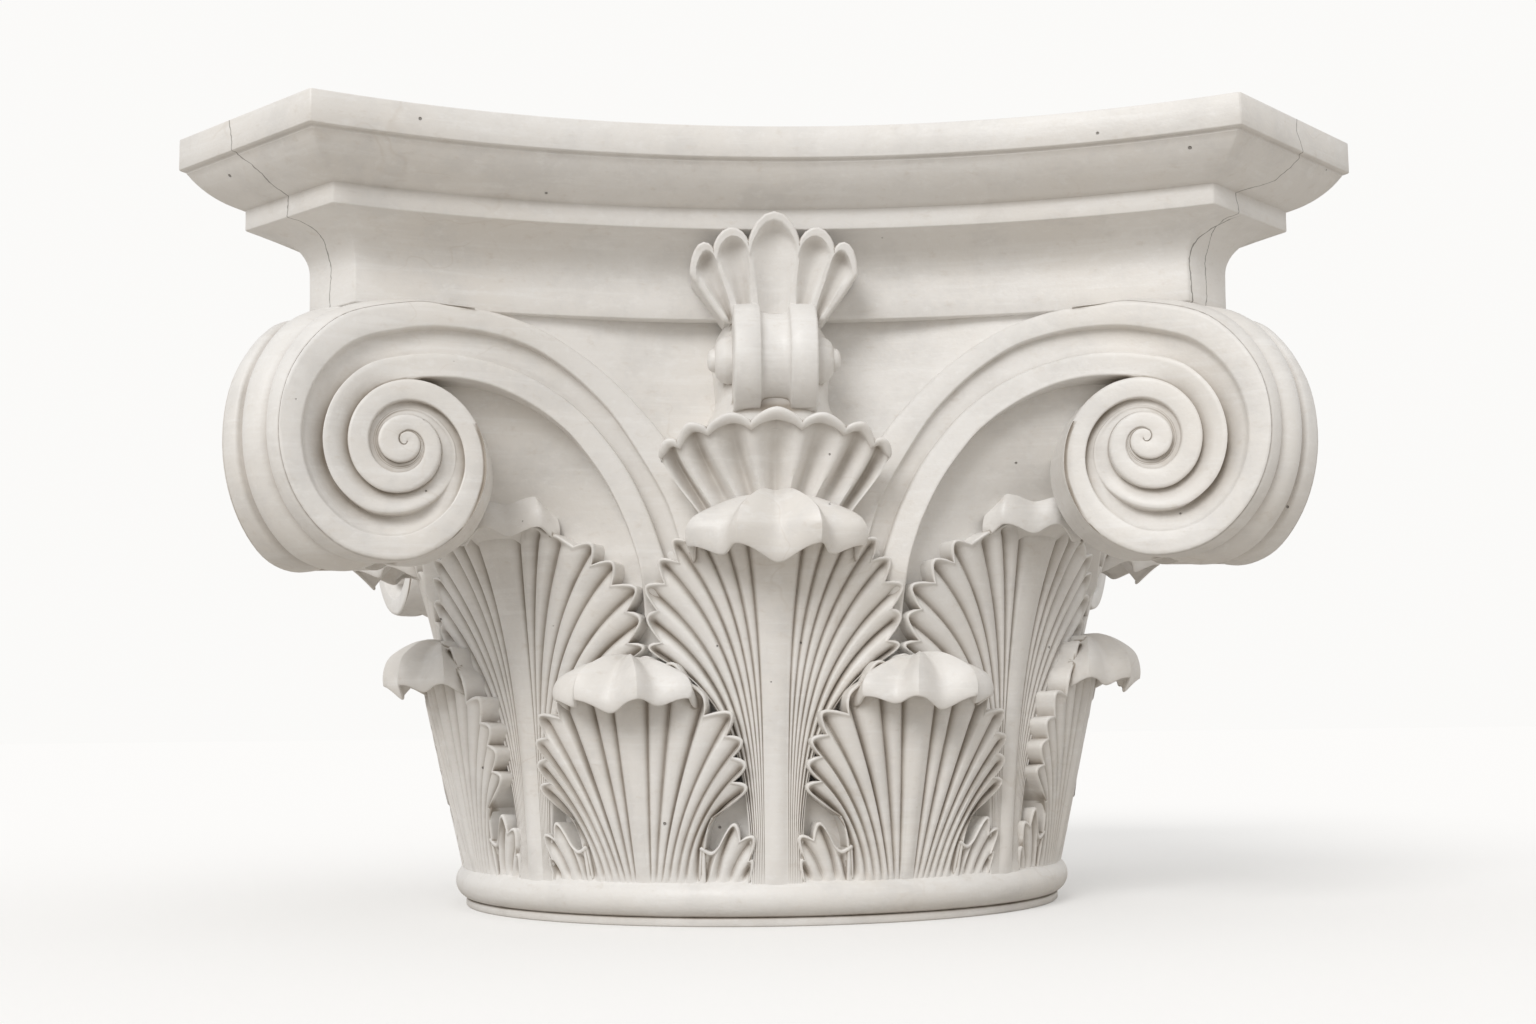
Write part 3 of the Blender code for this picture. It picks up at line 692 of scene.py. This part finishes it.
def through(stations, positions):
    """A smooth curve through evenly numbered stations, read at any positions between them."""
    stations = np.asarray(stations, dtype=float)
    positions = np.clip(positions, 0.0, len(stations) - 1.0001)
    index = np.floor(positions).astype(int)
    share = positions - index
    last = len(stations) - 1
    before = stations[np.maximum(index - 1, 0)]
    start = stations[index]
    end = stations[np.minimum(index + 1, last)]
    after = stations[np.minimum(index + 2, last)]
    if stations.ndim > 1:
        share = share.reshape(share.shape + (1,) * (stations.ndim - 1))
    slope_in = (end - before) / 2.0
    slope_out = (after - start) / 2.0
    cube = share ** 3
    square = share ** 2
    return ((2.0 * cube - 3.0 * square + 1.0) * start + (cube - 2.0 * square + share) * slope_in
            + (3.0 * square - 2.0 * cube) * end + (cube - square) * slope_out)


def spiral_point(radius, step):
    """A point round the volute's eye, by its radius in millimetres and its number of 30 degree steps."""
    angle = step * pi / 6.0
    return VOLUTE_EYE[0] + radius * 0.001 * np.sin(angle), VOLUTE_EYE[1] + radius * 0.001 * np.cos(angle)


def volute_guides():
    """Four guide curves from the ribbon's foot to the eye: rows of four points, and the turn at each."""
    outer = np.array(OUTER_EDGE)
    following = np.concatenate([outer[STEPS_ROUND:], np.zeros(STEPS_ROUND)])
    band = np.concatenate([BAND_EDGE, following[len(BAND_EDGE):]])
    second = mix(band, following, 0.5)
    second[:len(SECOND_EDGE)] = SECOND_EDGE
    second[len(SECOND_EDGE)] = mix(band[9], following[9], 0.42)
    radii = np.stack([outer, band, second, following], -1)
    s, z = spiral_point(radii, np.arange(len(outer))[:, None])
    stations = np.concatenate([np.array(RIBBON) * 0.001, np.stack([s, z], -1)])
    return stations, len(RIBBON)


# Depth of a volute's channel at each quarter turn, beside its band and beside its second line
NEAR_BAND = (0.0058, 0.0028, 0.0032, 0.0066, 0.0076, 0.0066, 0.0058, 0.0060, 0.0050, 0.0040, 0.0030)
NEAR_SECOND = (0.0060, 0.0098, 0.0080, 0.0030, 0.0034, 0.0078, 0.0060, 0.0024, 0.0040, 0.0040, 0.0030)


def volute_section(guides, turn, ribbon_share):
    """Across one row: places along the guides and depths below the volute's face."""
    first, band, second, following = guides
    wall = 0.013
    raised = 1.0 - smooth(turn, 0.50, 0.66)
    edge = 1.0 - smooth(turn, 2.75, 3.2)
    climb = -0.0010 * np.clip(turn, 0.0, 2.4)
    near = through(NEAR_BAND, turn * 4.0)
    far = through(NEAR_SECOND, turn * 4.0)
    if ribbon_share > 0.0:
        near = mix(0.0058, 0.0028, smooth(ribbon_share, 0.1, 0.9))
        far = mix(0.0060, 0.0078, smooth(ribbon_share, 0.1, 0.9))
    width = np.linalg.norm(band - first)
    gap = np.linalg.norm(second - band)
    crisp = min(1.0, width / 0.006) * edge
    points = []
    depths = []

    def put(start, end, share, offset, depth):
        length = max(np.linalg.norm(end - start), 1e-6)
        points.append(start + (end - start) * (share + offset / length))
        depths.append(climb + depth)

    rounded = ((0.0, 0.0005, wall * max(edge, 0.25)), (0.0, 0.0001, 0.0030 * crisp),
               (0.0, 0.0, 0.0016 * crisp), (0.0, 0.0003 * crisp, 0.0008 * crisp),
               (0.0, 0.0009 * crisp, 0.00025 * crisp), (0.16, 0.0005 * crisp, 0.0),
               (0.5, 0.0, 0.0001), (1.0, -0.0012 * crisp, 0.0),
               (1.0, -0.0005 * crisp, 0.0003 * crisp), (1.0, -0.0001, 0.0009 * crisp))
    for share, offset, depth in rounded:
        put(first, band, share, offset, depth)
    small = min(1.0, gap / 0.006) * edge
    put(band, second, 0.0, 0.0001, near * 0.6 * small)
    for share in (0.05, 0.15, 0.3, 0.45, 0.6, 0.74, 0.86, 0.95):
        floor = mix(near, far, share) + 0.0012 * sin(pi * share)
        other = mix(near, far, share * 0.5) + 0.0010 * sin(pi * share * 0.5)
        put(band, second, share, 0.0, small * mix(other, floor, raised))
    top = 0.0008
    for offset, depth in ((-0.0002, far * 0.75), (0.0001, 0.0022), (0.0004, 0.0012), (0.0011, 0.0008)):
        put(second, following, 0.0, offset, small * mix(mix(near, far, 0.55) + 0.001, depth, raised))
    ribbon = ribbon_share > 0.02
    valley = 0.0044
    for share in (0.25, 0.5, 0.72, 0.88):
        on_ribbon = top + 0.0002 * (1.0 - sin(pi * share))
        on_volute = top + (valley - top) * smooth(share, 0.2, 1.0)
        convex = on_ribbon if ribbon else mix(on_ribbon, on_volute, smooth(turn, -0.02, 0.15))
        plain = mix(near, far, 0.5 + share / 2.0) + 0.001 * sin(pi * (0.5 + share / 2.0))
        put(second, following, share, 0.0, small * mix(plain, convex, raised))
    if ribbon:
        for offset, depth in ((-0.0010, top), (-0.0003, top + 0.0005), (0.0, top + 0.0016), (0.0002, wall)):
            put(second, following, 1.0, offset, depth)
    else:
        level = mix(far, mix(top, valley, smooth(turn, -0.02, 0.15)), raised)
        under = 1.0 - smooth(turn, 2.05, 2.25)
        for offset, more in ((-0.0003, 0.0), (0.0002, 0.0003), (0.0008, 0.001), (0.0012, 0.010)):
            put(second, following, 1.0, offset * under, small * level + more * under)
    return np.array(points), np.array(depths)


def volute_strip():
    """The ribbon and spiral of the right half of a face, as one closed swept mesh."""
    stations, lead = volute_guides()
    positions = np.concatenate([np.arange(0.0, lead, 1.0 / 6.0), np.arange(lead, lead + 30.0, 1.0 / 6.0),
                                np.arange(lead + 30.0, len(stations) - 1.0, 1.0 / 4.0)])
    guides = through(stations, positions)
    rows = []
    for place, curves in zip(positions, guides):
        turn = max(0.0, (place - lead) / STEPS_ROUND)
        ribbon_share = np.clip((lead - place) / (lead - 1.0), 0.0, 1.0)
        points, depths = volute_section(curves, turn, ribbon_share)
        front = mix(RIBBON_FRONT, VOLUTE_FRONT, smooth(points[:, 0], 0.06, 0.20))
        front = front + 0.014 * (1.0 - smooth(points[:, 1], 0.180, 0.208))
        inset = np.concatenate([[VOLUTE_BACK], front + depths, [VOLUTE_BACK] * 3])
        start = points[:1]
        end = points[-1:]
        points = np.concatenate([start, points, end, mix(start, end, 0.5), start])
        rows.append(face_point(points[:, 0], inset, points[:, 1]))
    return closed_by_ends(shape_sheet("volute_strip", np.array(rows)), 0.0000003)


def across_corner(points):
    """Mirror points across the diagonal of the right front corner."""
    return grid_of(-points[..., 1], -points[..., 0], points[..., 2])


RIM_PROFILE = ((0.0, 0.0), (0.02, 0.0004), (0.05, 0.0007), (0.13, 0.0007), (0.19, 0.0004), (0.22, -0.0003),
               (0.24, -0.0020), (0.258, -0.0040), (0.275, -0.0045), (0.295, -0.0036), (0.32, -0.0018),
               (0.35, -0.0003), (0.385, 0.0010), (0.43, 0.0022), (0.5, 0.0027))


def volute_rim():
    """The broad edge of a corner volute, between its two faces."""
    stations, lead = volute_guides()
    positions = np.linspace(lead - 1.5, lead + 9.6, 84)
    outline = through(stations[:, 0], positions)
    along = np.gradient(outline, axis=0)
    normal = np.stack([-along[:, 1], along[:, 0]], -1) / np.linalg.norm(along, axis=1)[:, None]
    raised = 1.0 - smooth(np.abs(positions - lead), 0.4, 3.2)
    rows = []

    def front(out, depth):
        place = outline + normal * np.reshape(out, (-1, 1))
        return face_point(place[:, 0], VOLUTE_FRONT + depth, place[:, 1])

    rim = list(RIM_PROFILE) + [(1.0 - share, out) for share, out in RIM_PROFILE[-2::-1]]
    inner = ((-0.0090, 0.012), (-0.0040, 0.0095), (-0.0010, 0.0040), (-0.0002, 0.0020))
    rows += [front(out, depth) for out, depth in inner]
    for share, out in rim:
        lift = 0.0030 * smooth(min(share, 1.0 - share), 0.0, 0.12) * raised
        edge = front(out + lift, 0.0010)
        rows.append(mix(edge, across_corner(edge), share))
    rows += [across_corner(front(out, depth)) for out, depth in inner[::-1]]
    rows.append(rows[0])
    return closed_by_ends(shape_sheet("volute_rim", np.array(rows)))


def make_volutes():
    """Four corner volutes, each with the spirals and ribbons of its two faces."""
    strip = volute_strip()
    other = copy_of(strip, "volute_strip_side")
    set_points(other, across_corner(points_of(other)))
    weld(other)
    volute = shelter_for_painted_shade(joined([strip, other, volute_rim()], "volute"))
    return [ring_of(volute, "volutes", range(4), quarter_turn)]


PALMETTE_FOOT_Z = 0.350
PALMETTE_BACK = 0.030


def calyx_front(z):
    """Distance from the axis to the front of a calyx."""
    return 0.238 + 0.026 * np.maximum(0.0, (z - CALYX_FOOT_Z) / 0.068) ** 1.5


def palmette_front(z):
    """Distance from the axis to the front of a palmette."""
    return 0.244 + 0.30 * (z - PALMETTE_FOOT_Z)


def both_sides(places):
    """Places across a face from left to right, from those of its right half, the middle one first."""
    left = [(-x, z) for x, z in places[::-1] if x > 0.0]
    return left + list(places)


# The calyx from its middle outward, at the middles of its lobes and at the notches between them
CALYX_FOOT = (0.0, 0.0040, 0.0090, 0.0145, 0.0225, 0.0300, 0.0350, 0.0380)
CALYX_ACROSS = (0.0, 0.0140, 0.0257, 0.0381, 0.0477, 0.0552, 0.0622, 0.0667)
CALYX_LOBES = (0.2915, 0.2892, 0.2847, 0.2760, 0.2700)
CALYX_NOTCHES = (0.2845, 0.2845, 0.2818, 0.2750, 0.2690)
CALYX_FOOT_Z = 0.222
CALYX_REACH = 0.252
CALYX_CEILING = 0.30
CALYX_BACK = 0.052


def across_face(values, sign):
    """Stations of a whole face from those of its right half, the middle one first."""
    half = np.array(values)
    return np.concatenate([sign * half[:0:-1], half])


def calyx_cup():
    """A funnel of round ridges and hollows that open under a thick, wavy, rolled lip, in leaf space."""
    steps = np.linspace(0.0, 14.0, 113)
    foot_x = through(across_face(CALYX_FOOT, -1.0), steps)
    lip_x = through(across_face(CALYX_ACROSS, -1.0), steps)
    away = np.abs(steps - 7.0)
    lobe_z = np.interp(away, (0.0, 2.0, 4.0, 6.0, 7.0), CALYX_LOBES)
    notch_z = np.interp(away, (0.0, 1.0, 3.0, 5.0, 7.0), CALYX_NOTCHES)
    lip_z = mix(notch_z, lobe_z, np.abs(np.cos(away * pi / 2.0)) ** 0.8)
    lobe = 0.5 + 0.5 * np.cos(pi * away)
    end = np.sqrt(np.clip((7.0 - away) / 0.5, 0.0, 1.0)) * (1.0 - 0.3 * (away / 7.0) ** 2)
    roll = (0.0023 + 0.0005 * lobe + 0.0006 * lobe * (away < 1.0)) * mix(0.3, 1.0, end)
    ahead = np.stack([np.gradient(lip_x), np.gradient(lip_z)])
    ahead /= np.linalg.norm(ahead, axis=0)
    out_x = -ahead[1]
    out_z = ahead[0]
    rows = []
    for share in np.linspace(0.0, 1.0, 22):
        x = mix(foot_x, lip_x - 0.8 * roll * out_x, mix(share, smooth(share, 0.0, 1.0), 0.6))
        z = mix(CALYX_FOOT_Z, lip_z - 0.8 * roll * out_z, share)
        deep = mix(0.35, 1.0, smooth(share, 0.0, 0.7)) * (1.0 - 0.45 * smooth(share, 0.78, 1.0))
        rows.append(grid_of(x, 0.0018 + 0.0115 * lobe ** 0.75 * end * deep, z))
    for degrees in range(-75, 136, 15):
        turn = radians(degrees)
        up = roll * sin(turn)
        rows.append(grid_of(lip_x + out_x * up, 0.0006 - roll * cos(turn) * 1.1, lip_z + out_z * up))
    rows += [grid_of(lip_x, 0.014, lip_z - 0.004), grid_of(lip_x, CALYX_BACK, lip_z - 0.020)]
    rows += [grid_of(foot_x, CALYX_BACK, CALYX_FOOT_Z), rows[0]]
    return closed_by_ends(shape_sheet("calyx", np.array(rows)))


def carry_calyx(piece, index):
    """Bend a calyx round the bell, in the middle of its face."""
    bend_round(piece, index * pi / 2.0, calyx_front, CALYX_REACH, CALYX_CEILING)


def make_calyxes():
    """The fluted cups behind the heads of the centre leaves."""
    cup = shelter_for_painted_shade(calyx_cup())
    return [ring_of(cup, "calyxes", range(4), carry_calyx)]


def make_palmettes():
    """The five-petalled palmettes in the middle of the abacus faces."""
    feet = both_sides([(x, PALMETTE_FOOT_Z) for x in (0.0105, 0.0215, 0.0285)])
    notches = both_sides([(0.0145, 0.3892), (0.0346, 0.3855), (0.0470, 0.3745)])
    tips = both_sides([(0.0, 0.4075), (0.0253, 0.3987), (0.0425, 0.3897)])
    powers = [0.95, 1.15, 1.3, 1.3, 1.15, 0.95]
    x, z, sink = fan_of(feet, notches, tips, powers, [0.0] * 6, 0.50, pointed=0.42, bead=0.0040, ridge=0.0020,
                        steep=2.6, deepest=0.0086, grooved=False, shares=PETAL_SHARES)
    petals = thick("palmette", grid_of(x, sink, z), PALMETTE_BACK, PETAL_ROUND)
    flat = points_of(petals)
    flat[:, 1] -= palmette_front(flat[:, 2])
    set_points(petals, flat)
    return [ring_of(shelter_for_painted_shade(petals), "palmettes", range(4), quarter_turn)]


# A scroll: its axis, and its half profile along that axis with the radius at each place
SCROLL_DEPTH = 0.240
SCROLL_Z = 0.3262
SCROLL_PROFILE = ((0.0, 0.0268), (0.0035, 0.0270), (0.0065, 0.0277), (0.0078, 0.0287), (0.0083, 0.0302),
                  (0.0086, 0.0318), (0.0093, 0.0325), (0.0155, 0.0328), (0.0223, 0.0325), (0.0232, 0.0321),
                  (0.0238, 0.0312), (0.0240, 0.0240), (0.0244, 0.0170), (0.0246, 0.0144),
                  (0.0268, 0.0140), (0.0294, 0.0131), (0.0316, 0.0118), (0.0332, 0.0101), (0.0341, 0.0082),
                  (0.0343, 0.0070), (0.0362, 0.0066), (0.0377, 0.0054), (0.0385, 0.0034), (0.0388, 0.0))

# Half widths of the block behind a scroll, from its foot over the calyx to its top
BODY_FOOT_Z = 0.284
BODY_TOP_Z = 0.353
BODY_WIDTHS = (0.0450, 0.0385, 0.0340, 0.0338, 0.0350, 0.0352, 0.0335, 0.0280)


def make_scrolls():
    """The small double scrolls between the calyxes and the palmettes."""
    half = np.array(SCROLL_PROFILE)
    across, radius = np.concatenate([half[:0:-1] * (-1.0, 1.0), half]).T
    angle = np.linspace(0.0, 2.0 * pi, 73)[:, None]
    drum = grid_of(across, -SCROLL_DEPTH - radius * np.cos(angle), SCROLL_Z + radius * np.sin(angle))
    roll = weld(shape_sheet("scroll", drum))
    depth = np.sin(np.linspace(0.0, pi / 2.0, 16))
    rows = []
    for z in np.linspace(BODY_FOOT_Z, BODY_TOP_Z, 24):
        wide = through(BODY_WIDTHS, (z - BODY_FOOT_Z) / (BODY_TOP_Z - BODY_FOOT_Z) * (len(BODY_WIDTHS) - 1))
        nose = mix(0.252, 0.244, smooth(z, 0.300, 0.335))
        right = grid_of(mix(0.0120, wide, np.sqrt(1.0 - depth ** 2)), -mix(0.205, nose, depth), z)
        left = right * (-1.0, 1.0, 1.0)
        rows.append(np.concatenate([left, right[::-1], left[:1]]))
    body = closed_by_ends(shape_sheet("scroll_body", np.array(rows)))
    scroll = shelter_for_painted_shade(joined([roll, body], "scroll"))
    return [ring_of(scroll, "scrolls", range(4), quarter_turn)]


class Wire:
    """A socket of a material's nodes, with arithmetic that adds Math nodes."""

    def __init__(self, tree, socket):
        self.tree = tree
        self.socket = socket

    def node(self, kind, settings, values, output=0):
        """Any node by its type, with its settings and the values or wires of its sockets."""
        made = self.tree.nodes.new(kind)
        for key, value in settings.items():
            setattr(made, key, value)
        for key, value in values.items():
            if isinstance(value, Wire):
                self.tree.links.new(value.socket, made.inputs[key])
            else:
                made.inputs[key].default_value = value
        return Wire(self.tree, made.outputs[output])

    def other(self, output):
        """Another output of the same node."""
        return Wire(self.tree, self.socket.node.outputs[output])

    def math(self, operation, first, second=0.0):
        """One Math node."""
        return self.node("ShaderNodeMath", {"operation": operation}, {0: first, 1: second})

    def __add__(self, other):
        return self.math('ADD', self, other)

    def __sub__(self, other):
        return self.math('SUBTRACT', self, other)

    def __rsub__(self, other):
        return self.math('SUBTRACT', other, self)

    def __mul__(self, other):
        return self.math('MULTIPLY', self, other)

    def size(self):
        """The value without its sign."""
        return self.math('ABSOLUTE', self)

    def between(self, low, high, start=0.0, end=1.0, shape='SMOOTHSTEP'):
        """The value carried from one range to another, and held at its ends."""
        values = {"From Min": low, "From Max": high, "To Min": start, "To Max": end}
        return self.node("ShaderNodeMapRange", {"interpolation_type": shape}, {"Value": self, **values})

    def tint(self, colour, share):
        """This colour mixed towards another."""
        return self.node("ShaderNodeMix", {"data_type": 'RGBA'}, {0: share, 6: self, 7: colour}, 2)

    def noise(self, scale, detail=3.0, roughness=0.55):
        """Noise at a place."""
        values = {"Vector": self, "Scale": scale, "Detail": detail, "Roughness": roughness}
        return self.node("ShaderNodeTexNoise", {}, values)

    def moved(self, offset, scale):
        """A place moved and stretched."""
        return self.node("ShaderNodeMapping", {}, {"Vector": self, "Location": offset, "Scale": scale})


# Cracks of the front corners: how far across the cut corner each one runs, going up the abacus
CRACK_LEFT = ((0.354, -0.0014), (0.389, -0.0007), (0.398, 0.0028), (0.402, 0.0), (0.413, 0.0007),
              (0.423, 0.0010), (0.435, -0.0100), (0.444, -0.0106), (0.4538, -0.0127))
CRACK_RIGHT = ((0.353, -0.0020), (0.377, -0.0010), (0.390, -0.0050), (0.402, -0.0150), (0.413, -0.0180),
               (0.421, 0.0010), (0.433, 0.0078), (0.446, -0.0007), (0.4538, 0.0))
CRACK_INNER = ((0.353, -0.0165), (0.381, -0.0200), (0.391, -0.0190), (0.400, -0.0100))


def crack(height, across, depth, jag, stations, width):
    """A jagged line on a cut corner, as 1 in the crack and 0 beside it."""
    run = stations[0][1]
    for (low, start), (high, end) in zip(stations, stations[1:]):
        run = height.between(low, high, 0.0, end - start, 'LINEAR') + run
    line = (across - run + jag * 0.007).size()
    thin = jag.between(-0.25, 0.2, 0.3, 1.0, 'LINEAR') * width
    near = depth.between(0.30, 0.31) * height.between(stations[0][0] - 0.012, stations[0][0])
    end = height.between(stations[-1][0], stations[-1][0] + 0.002, 1.0, 0.0)
    return (line - thin).between(-0.0002, 0.0004, 1.0, 0.0) * near * end


def carved_stone():
    """Pale ivory stone: mottled, darkened in its hollows by painted shade, with pits, hair veins and old
    cracks.
    """
    material = bpy.data.materials.new("stone")
    material.use_nodes = True
    tree = material.node_tree
    shader = tree.nodes["Principled BSDF"]
    start = Wire(tree, None)
    place = start.node("ShaderNodeTexCoord", {}, {}, "Object")
    shelter = start.node("ShaderNodeAttribute", {"attribute_name": "shelter"}, {}, "Fac")
    split = start.node("ShaderNodeSeparateXYZ", {}, {0: place})
    x, y, z = [split.other(axis) for axis in range(3)]

    clouds = place.noise(7.0, 3.0, 0.6)
    blotches = place.noise(26.0, 4.0, 0.7)
    scuffs = place.moved((1.7, 4.1, 2.3), (1.0, 1.0, 1.7)).noise(85.0, 3.0, 0.7)
    grain = place.noise(420.0, 1.0, 0.6)
    streaks = place.moved((3.1, 0.7, 0.0), (6.0, 6.0, 90.0)).noise(1.6, 3.0, 0.7)
    veins = (place.moved((0.37, 0.11, 0.23), (1.0, 1.0, 1.6)).noise(9.0, 3.0, 0.6) - 0.5).size()
    vein = veins.between(0.0, 0.008, 1.0, 0.0) * clouds.between(0.54, 0.62)

    cell = start.node("ShaderNodeTexVoronoi", {"feature": 'F1'}, {"Vector": place, "Scale": 62.0})
    pick = start.node("ShaderNodeSeparateColor", {}, {0: cell.other("Color")})
    pit_width = pick.between(0.70, 1.0, 0.0, 0.075, 'LINEAR')
    pit = (cell - pit_width).between(-0.03, 0.005, 1.0, 0.0) * pick.between(0.70, 0.72)

    jag = place.noise(60.0, 3.0, 0.7) - 0.5
    right_across = (x + y) * 0.70711
    right_depth = (x - y) * 0.70711
    left = crack(z, right_depth, right_across * -1.0, jag, CRACK_LEFT, 0.00040)
    right = crack(z, right_across, right_depth, jag, CRACK_RIGHT, 0.00040)
    inner = crack(z, right_across, right_depth, jag, CRACK_INNER, 0.00060)
    cracks = 1.0 - (1.0 - left) * (1.0 - right) * (1.0 - inner)

    pale = start.node("ShaderNodeRGB", {}, {})
    pale.socket.default_value = STONE_PALE
    # Painted shade: the colour darkens where the shelter attribute finds a point deep in a hollow, a little
    # varied by blotchy noise
    painted_shade = shelter.between(0.03, 0.52, 0.0, 1.0, 'LINEAR') * blotches.between(0.25, 0.75, 0.65, 1.0)
    colour = pale
    for tint, share in ((STONE_WARM, clouds.between(0.35, 0.70) * 0.75),
                        (STONE_GREY, blotches.between(0.44, 0.68) * 0.72),
                        (STONE_WHITE, streaks.between(0.50, 0.72) * 0.45),
                        (STONE_WHITE, scuffs.between(0.46, 0.30) * 0.40),
                        (STONE_VEIN, scuffs.between(0.56, 0.78) * 0.22),
                        (STONE_WARM, grain.between(0.45, 0.75) * 0.25),
                        (STONE_PAINTED_SHADE, painted_shade * 0.95), (STONE_VEIN, vein * 0.15),
                        (STONE_DARK, pit * 0.75), (STONE_DARK, cracks * 0.72)):
        colour = colour.tint(tint, share)
    tree.links.new(colour.socket, shader.inputs["Base Color"])
    tree.links.new((shelter * 0.3 + 0.44).socket, shader.inputs["Roughness"])
    height = grain * 0.12 + scuffs * 0.25 - pit * 0.9
    bump = start.node("ShaderNodeBump", {}, {"Strength": 1.0, "Distance": 0.0008, "Height": height})
    tree.links.new(bump.socket, shader.inputs["Normal"])
    return material


def split_by_ray(tree, lighting, seen, output):
    """Let one shader be seen by the camera and another light the scene."""
    path = tree.nodes.new("ShaderNodeLightPath")
    pick = tree.nodes.new("ShaderNodeMixShader")
    tree.links.new(path.outputs["Is Camera Ray"], pick.inputs["Fac"])
    tree.links.new(lighting.outputs[0], pick.inputs[1])
    tree.links.new(seen.outputs[0], pick.inputs[2])
    tree.links.new(pick.outputs["Shader"], tree.nodes[output].inputs["Surface"])


def make_stage():
    """Pale floor, soft studio light and the camera."""
    deselect()
    bpy.ops.mesh.primitive_plane_add(size=FLOOR_SIZE, location=(0.0, 0.0, 0.0))
    floor = bpy.context.object
    floor.name = "floor"
    material = bpy.data.materials.new("floor")
    material.use_nodes = True
    tree = material.node_tree
    seen = tree.nodes["Principled BSDF"]
    lighting = tree.nodes.new("ShaderNodeBsdfPrincipled")
    for shader, colour in ((seen, FLOOR_COLOUR), (lighting, FLOOR_BOUNCE)):
        shader.inputs["Base Color"].default_value = colour
        shader.inputs["Roughness"].default_value = 1.0
        shader.inputs["Specular IOR Level"].default_value = 0.0
    seen.inputs["Emission Color"].default_value = FLOOR_GLOW
    seen.inputs["Emission Strength"].default_value = 1.0
    split_by_ray(tree, lighting, seen, "Material Output")
    floor.data.materials.append(material)

    world = bpy.data.worlds.new("studio")
    world.use_nodes = True
    tree = world.node_tree
    seen = tree.nodes["Background"]
    lighting = tree.nodes.new("ShaderNodeBackground")
    for shader, colour, strength in ((seen, SKY_SEEN_COLOUR, SKY_SEEN),
                                     (lighting, SKY_LIGHT_COLOUR, SKY_LIGHT)):
        shader.inputs["Color"].default_value = colour
        shader.inputs["Strength"].default_value = strength
    split_by_ray(tree, lighting, seen, "World Output")
    bpy.context.scene.world = world
    bpy.context.scene.view_settings.view_transform = 'Standard'

    deselect()
    bpy.ops.object.light_add(type='SUN')
    key = bpy.context.object
    key.name = "key"
    key.data.energy = KEY_STRENGTH
    key.data.angle = radians(KEY_ANGLE)
    key.data.color = KEY_COLOUR
    key.rotation_euler = (-Vector(KEY_FROM)).to_track_quat('-Z', 'Y').to_euler()

    bpy.ops.object.camera_add()
    camera = bpy.context.object
    camera.data.lens = CAMERA_LENS
    heading = Matrix.Rotation(-CAMERA_YAW, 4, 'Z')
    tilt = Matrix.Rotation(pi / 2.0 + CAMERA_PITCH, 4, 'X')
    roll = Matrix.Rotation(-CAMERA_ROLL, 4, 'Z')
    camera.matrix_world = Matrix.Translation(CAMERA_PLACE) @ heading @ tilt @ roll
    bpy.context.scene.camera = camera


SMOOTH_ANGLE = radians(50.0)
stone = carved_stone()
for make in (make_bell, make_abacus, make_lower_leaves, make_upper_leaves, make_volutes, make_calyxes,
             make_scrolls, make_palmettes):
    for piece in make():
        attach(piece, "root")
        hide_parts("capital")
        piece.data.materials.clear()
        piece.data.materials.append(stone)
        only(piece)
        bpy.ops.object.shade_smooth_by_angle(angle=SMOOTH_ANGLE)
make_stage()
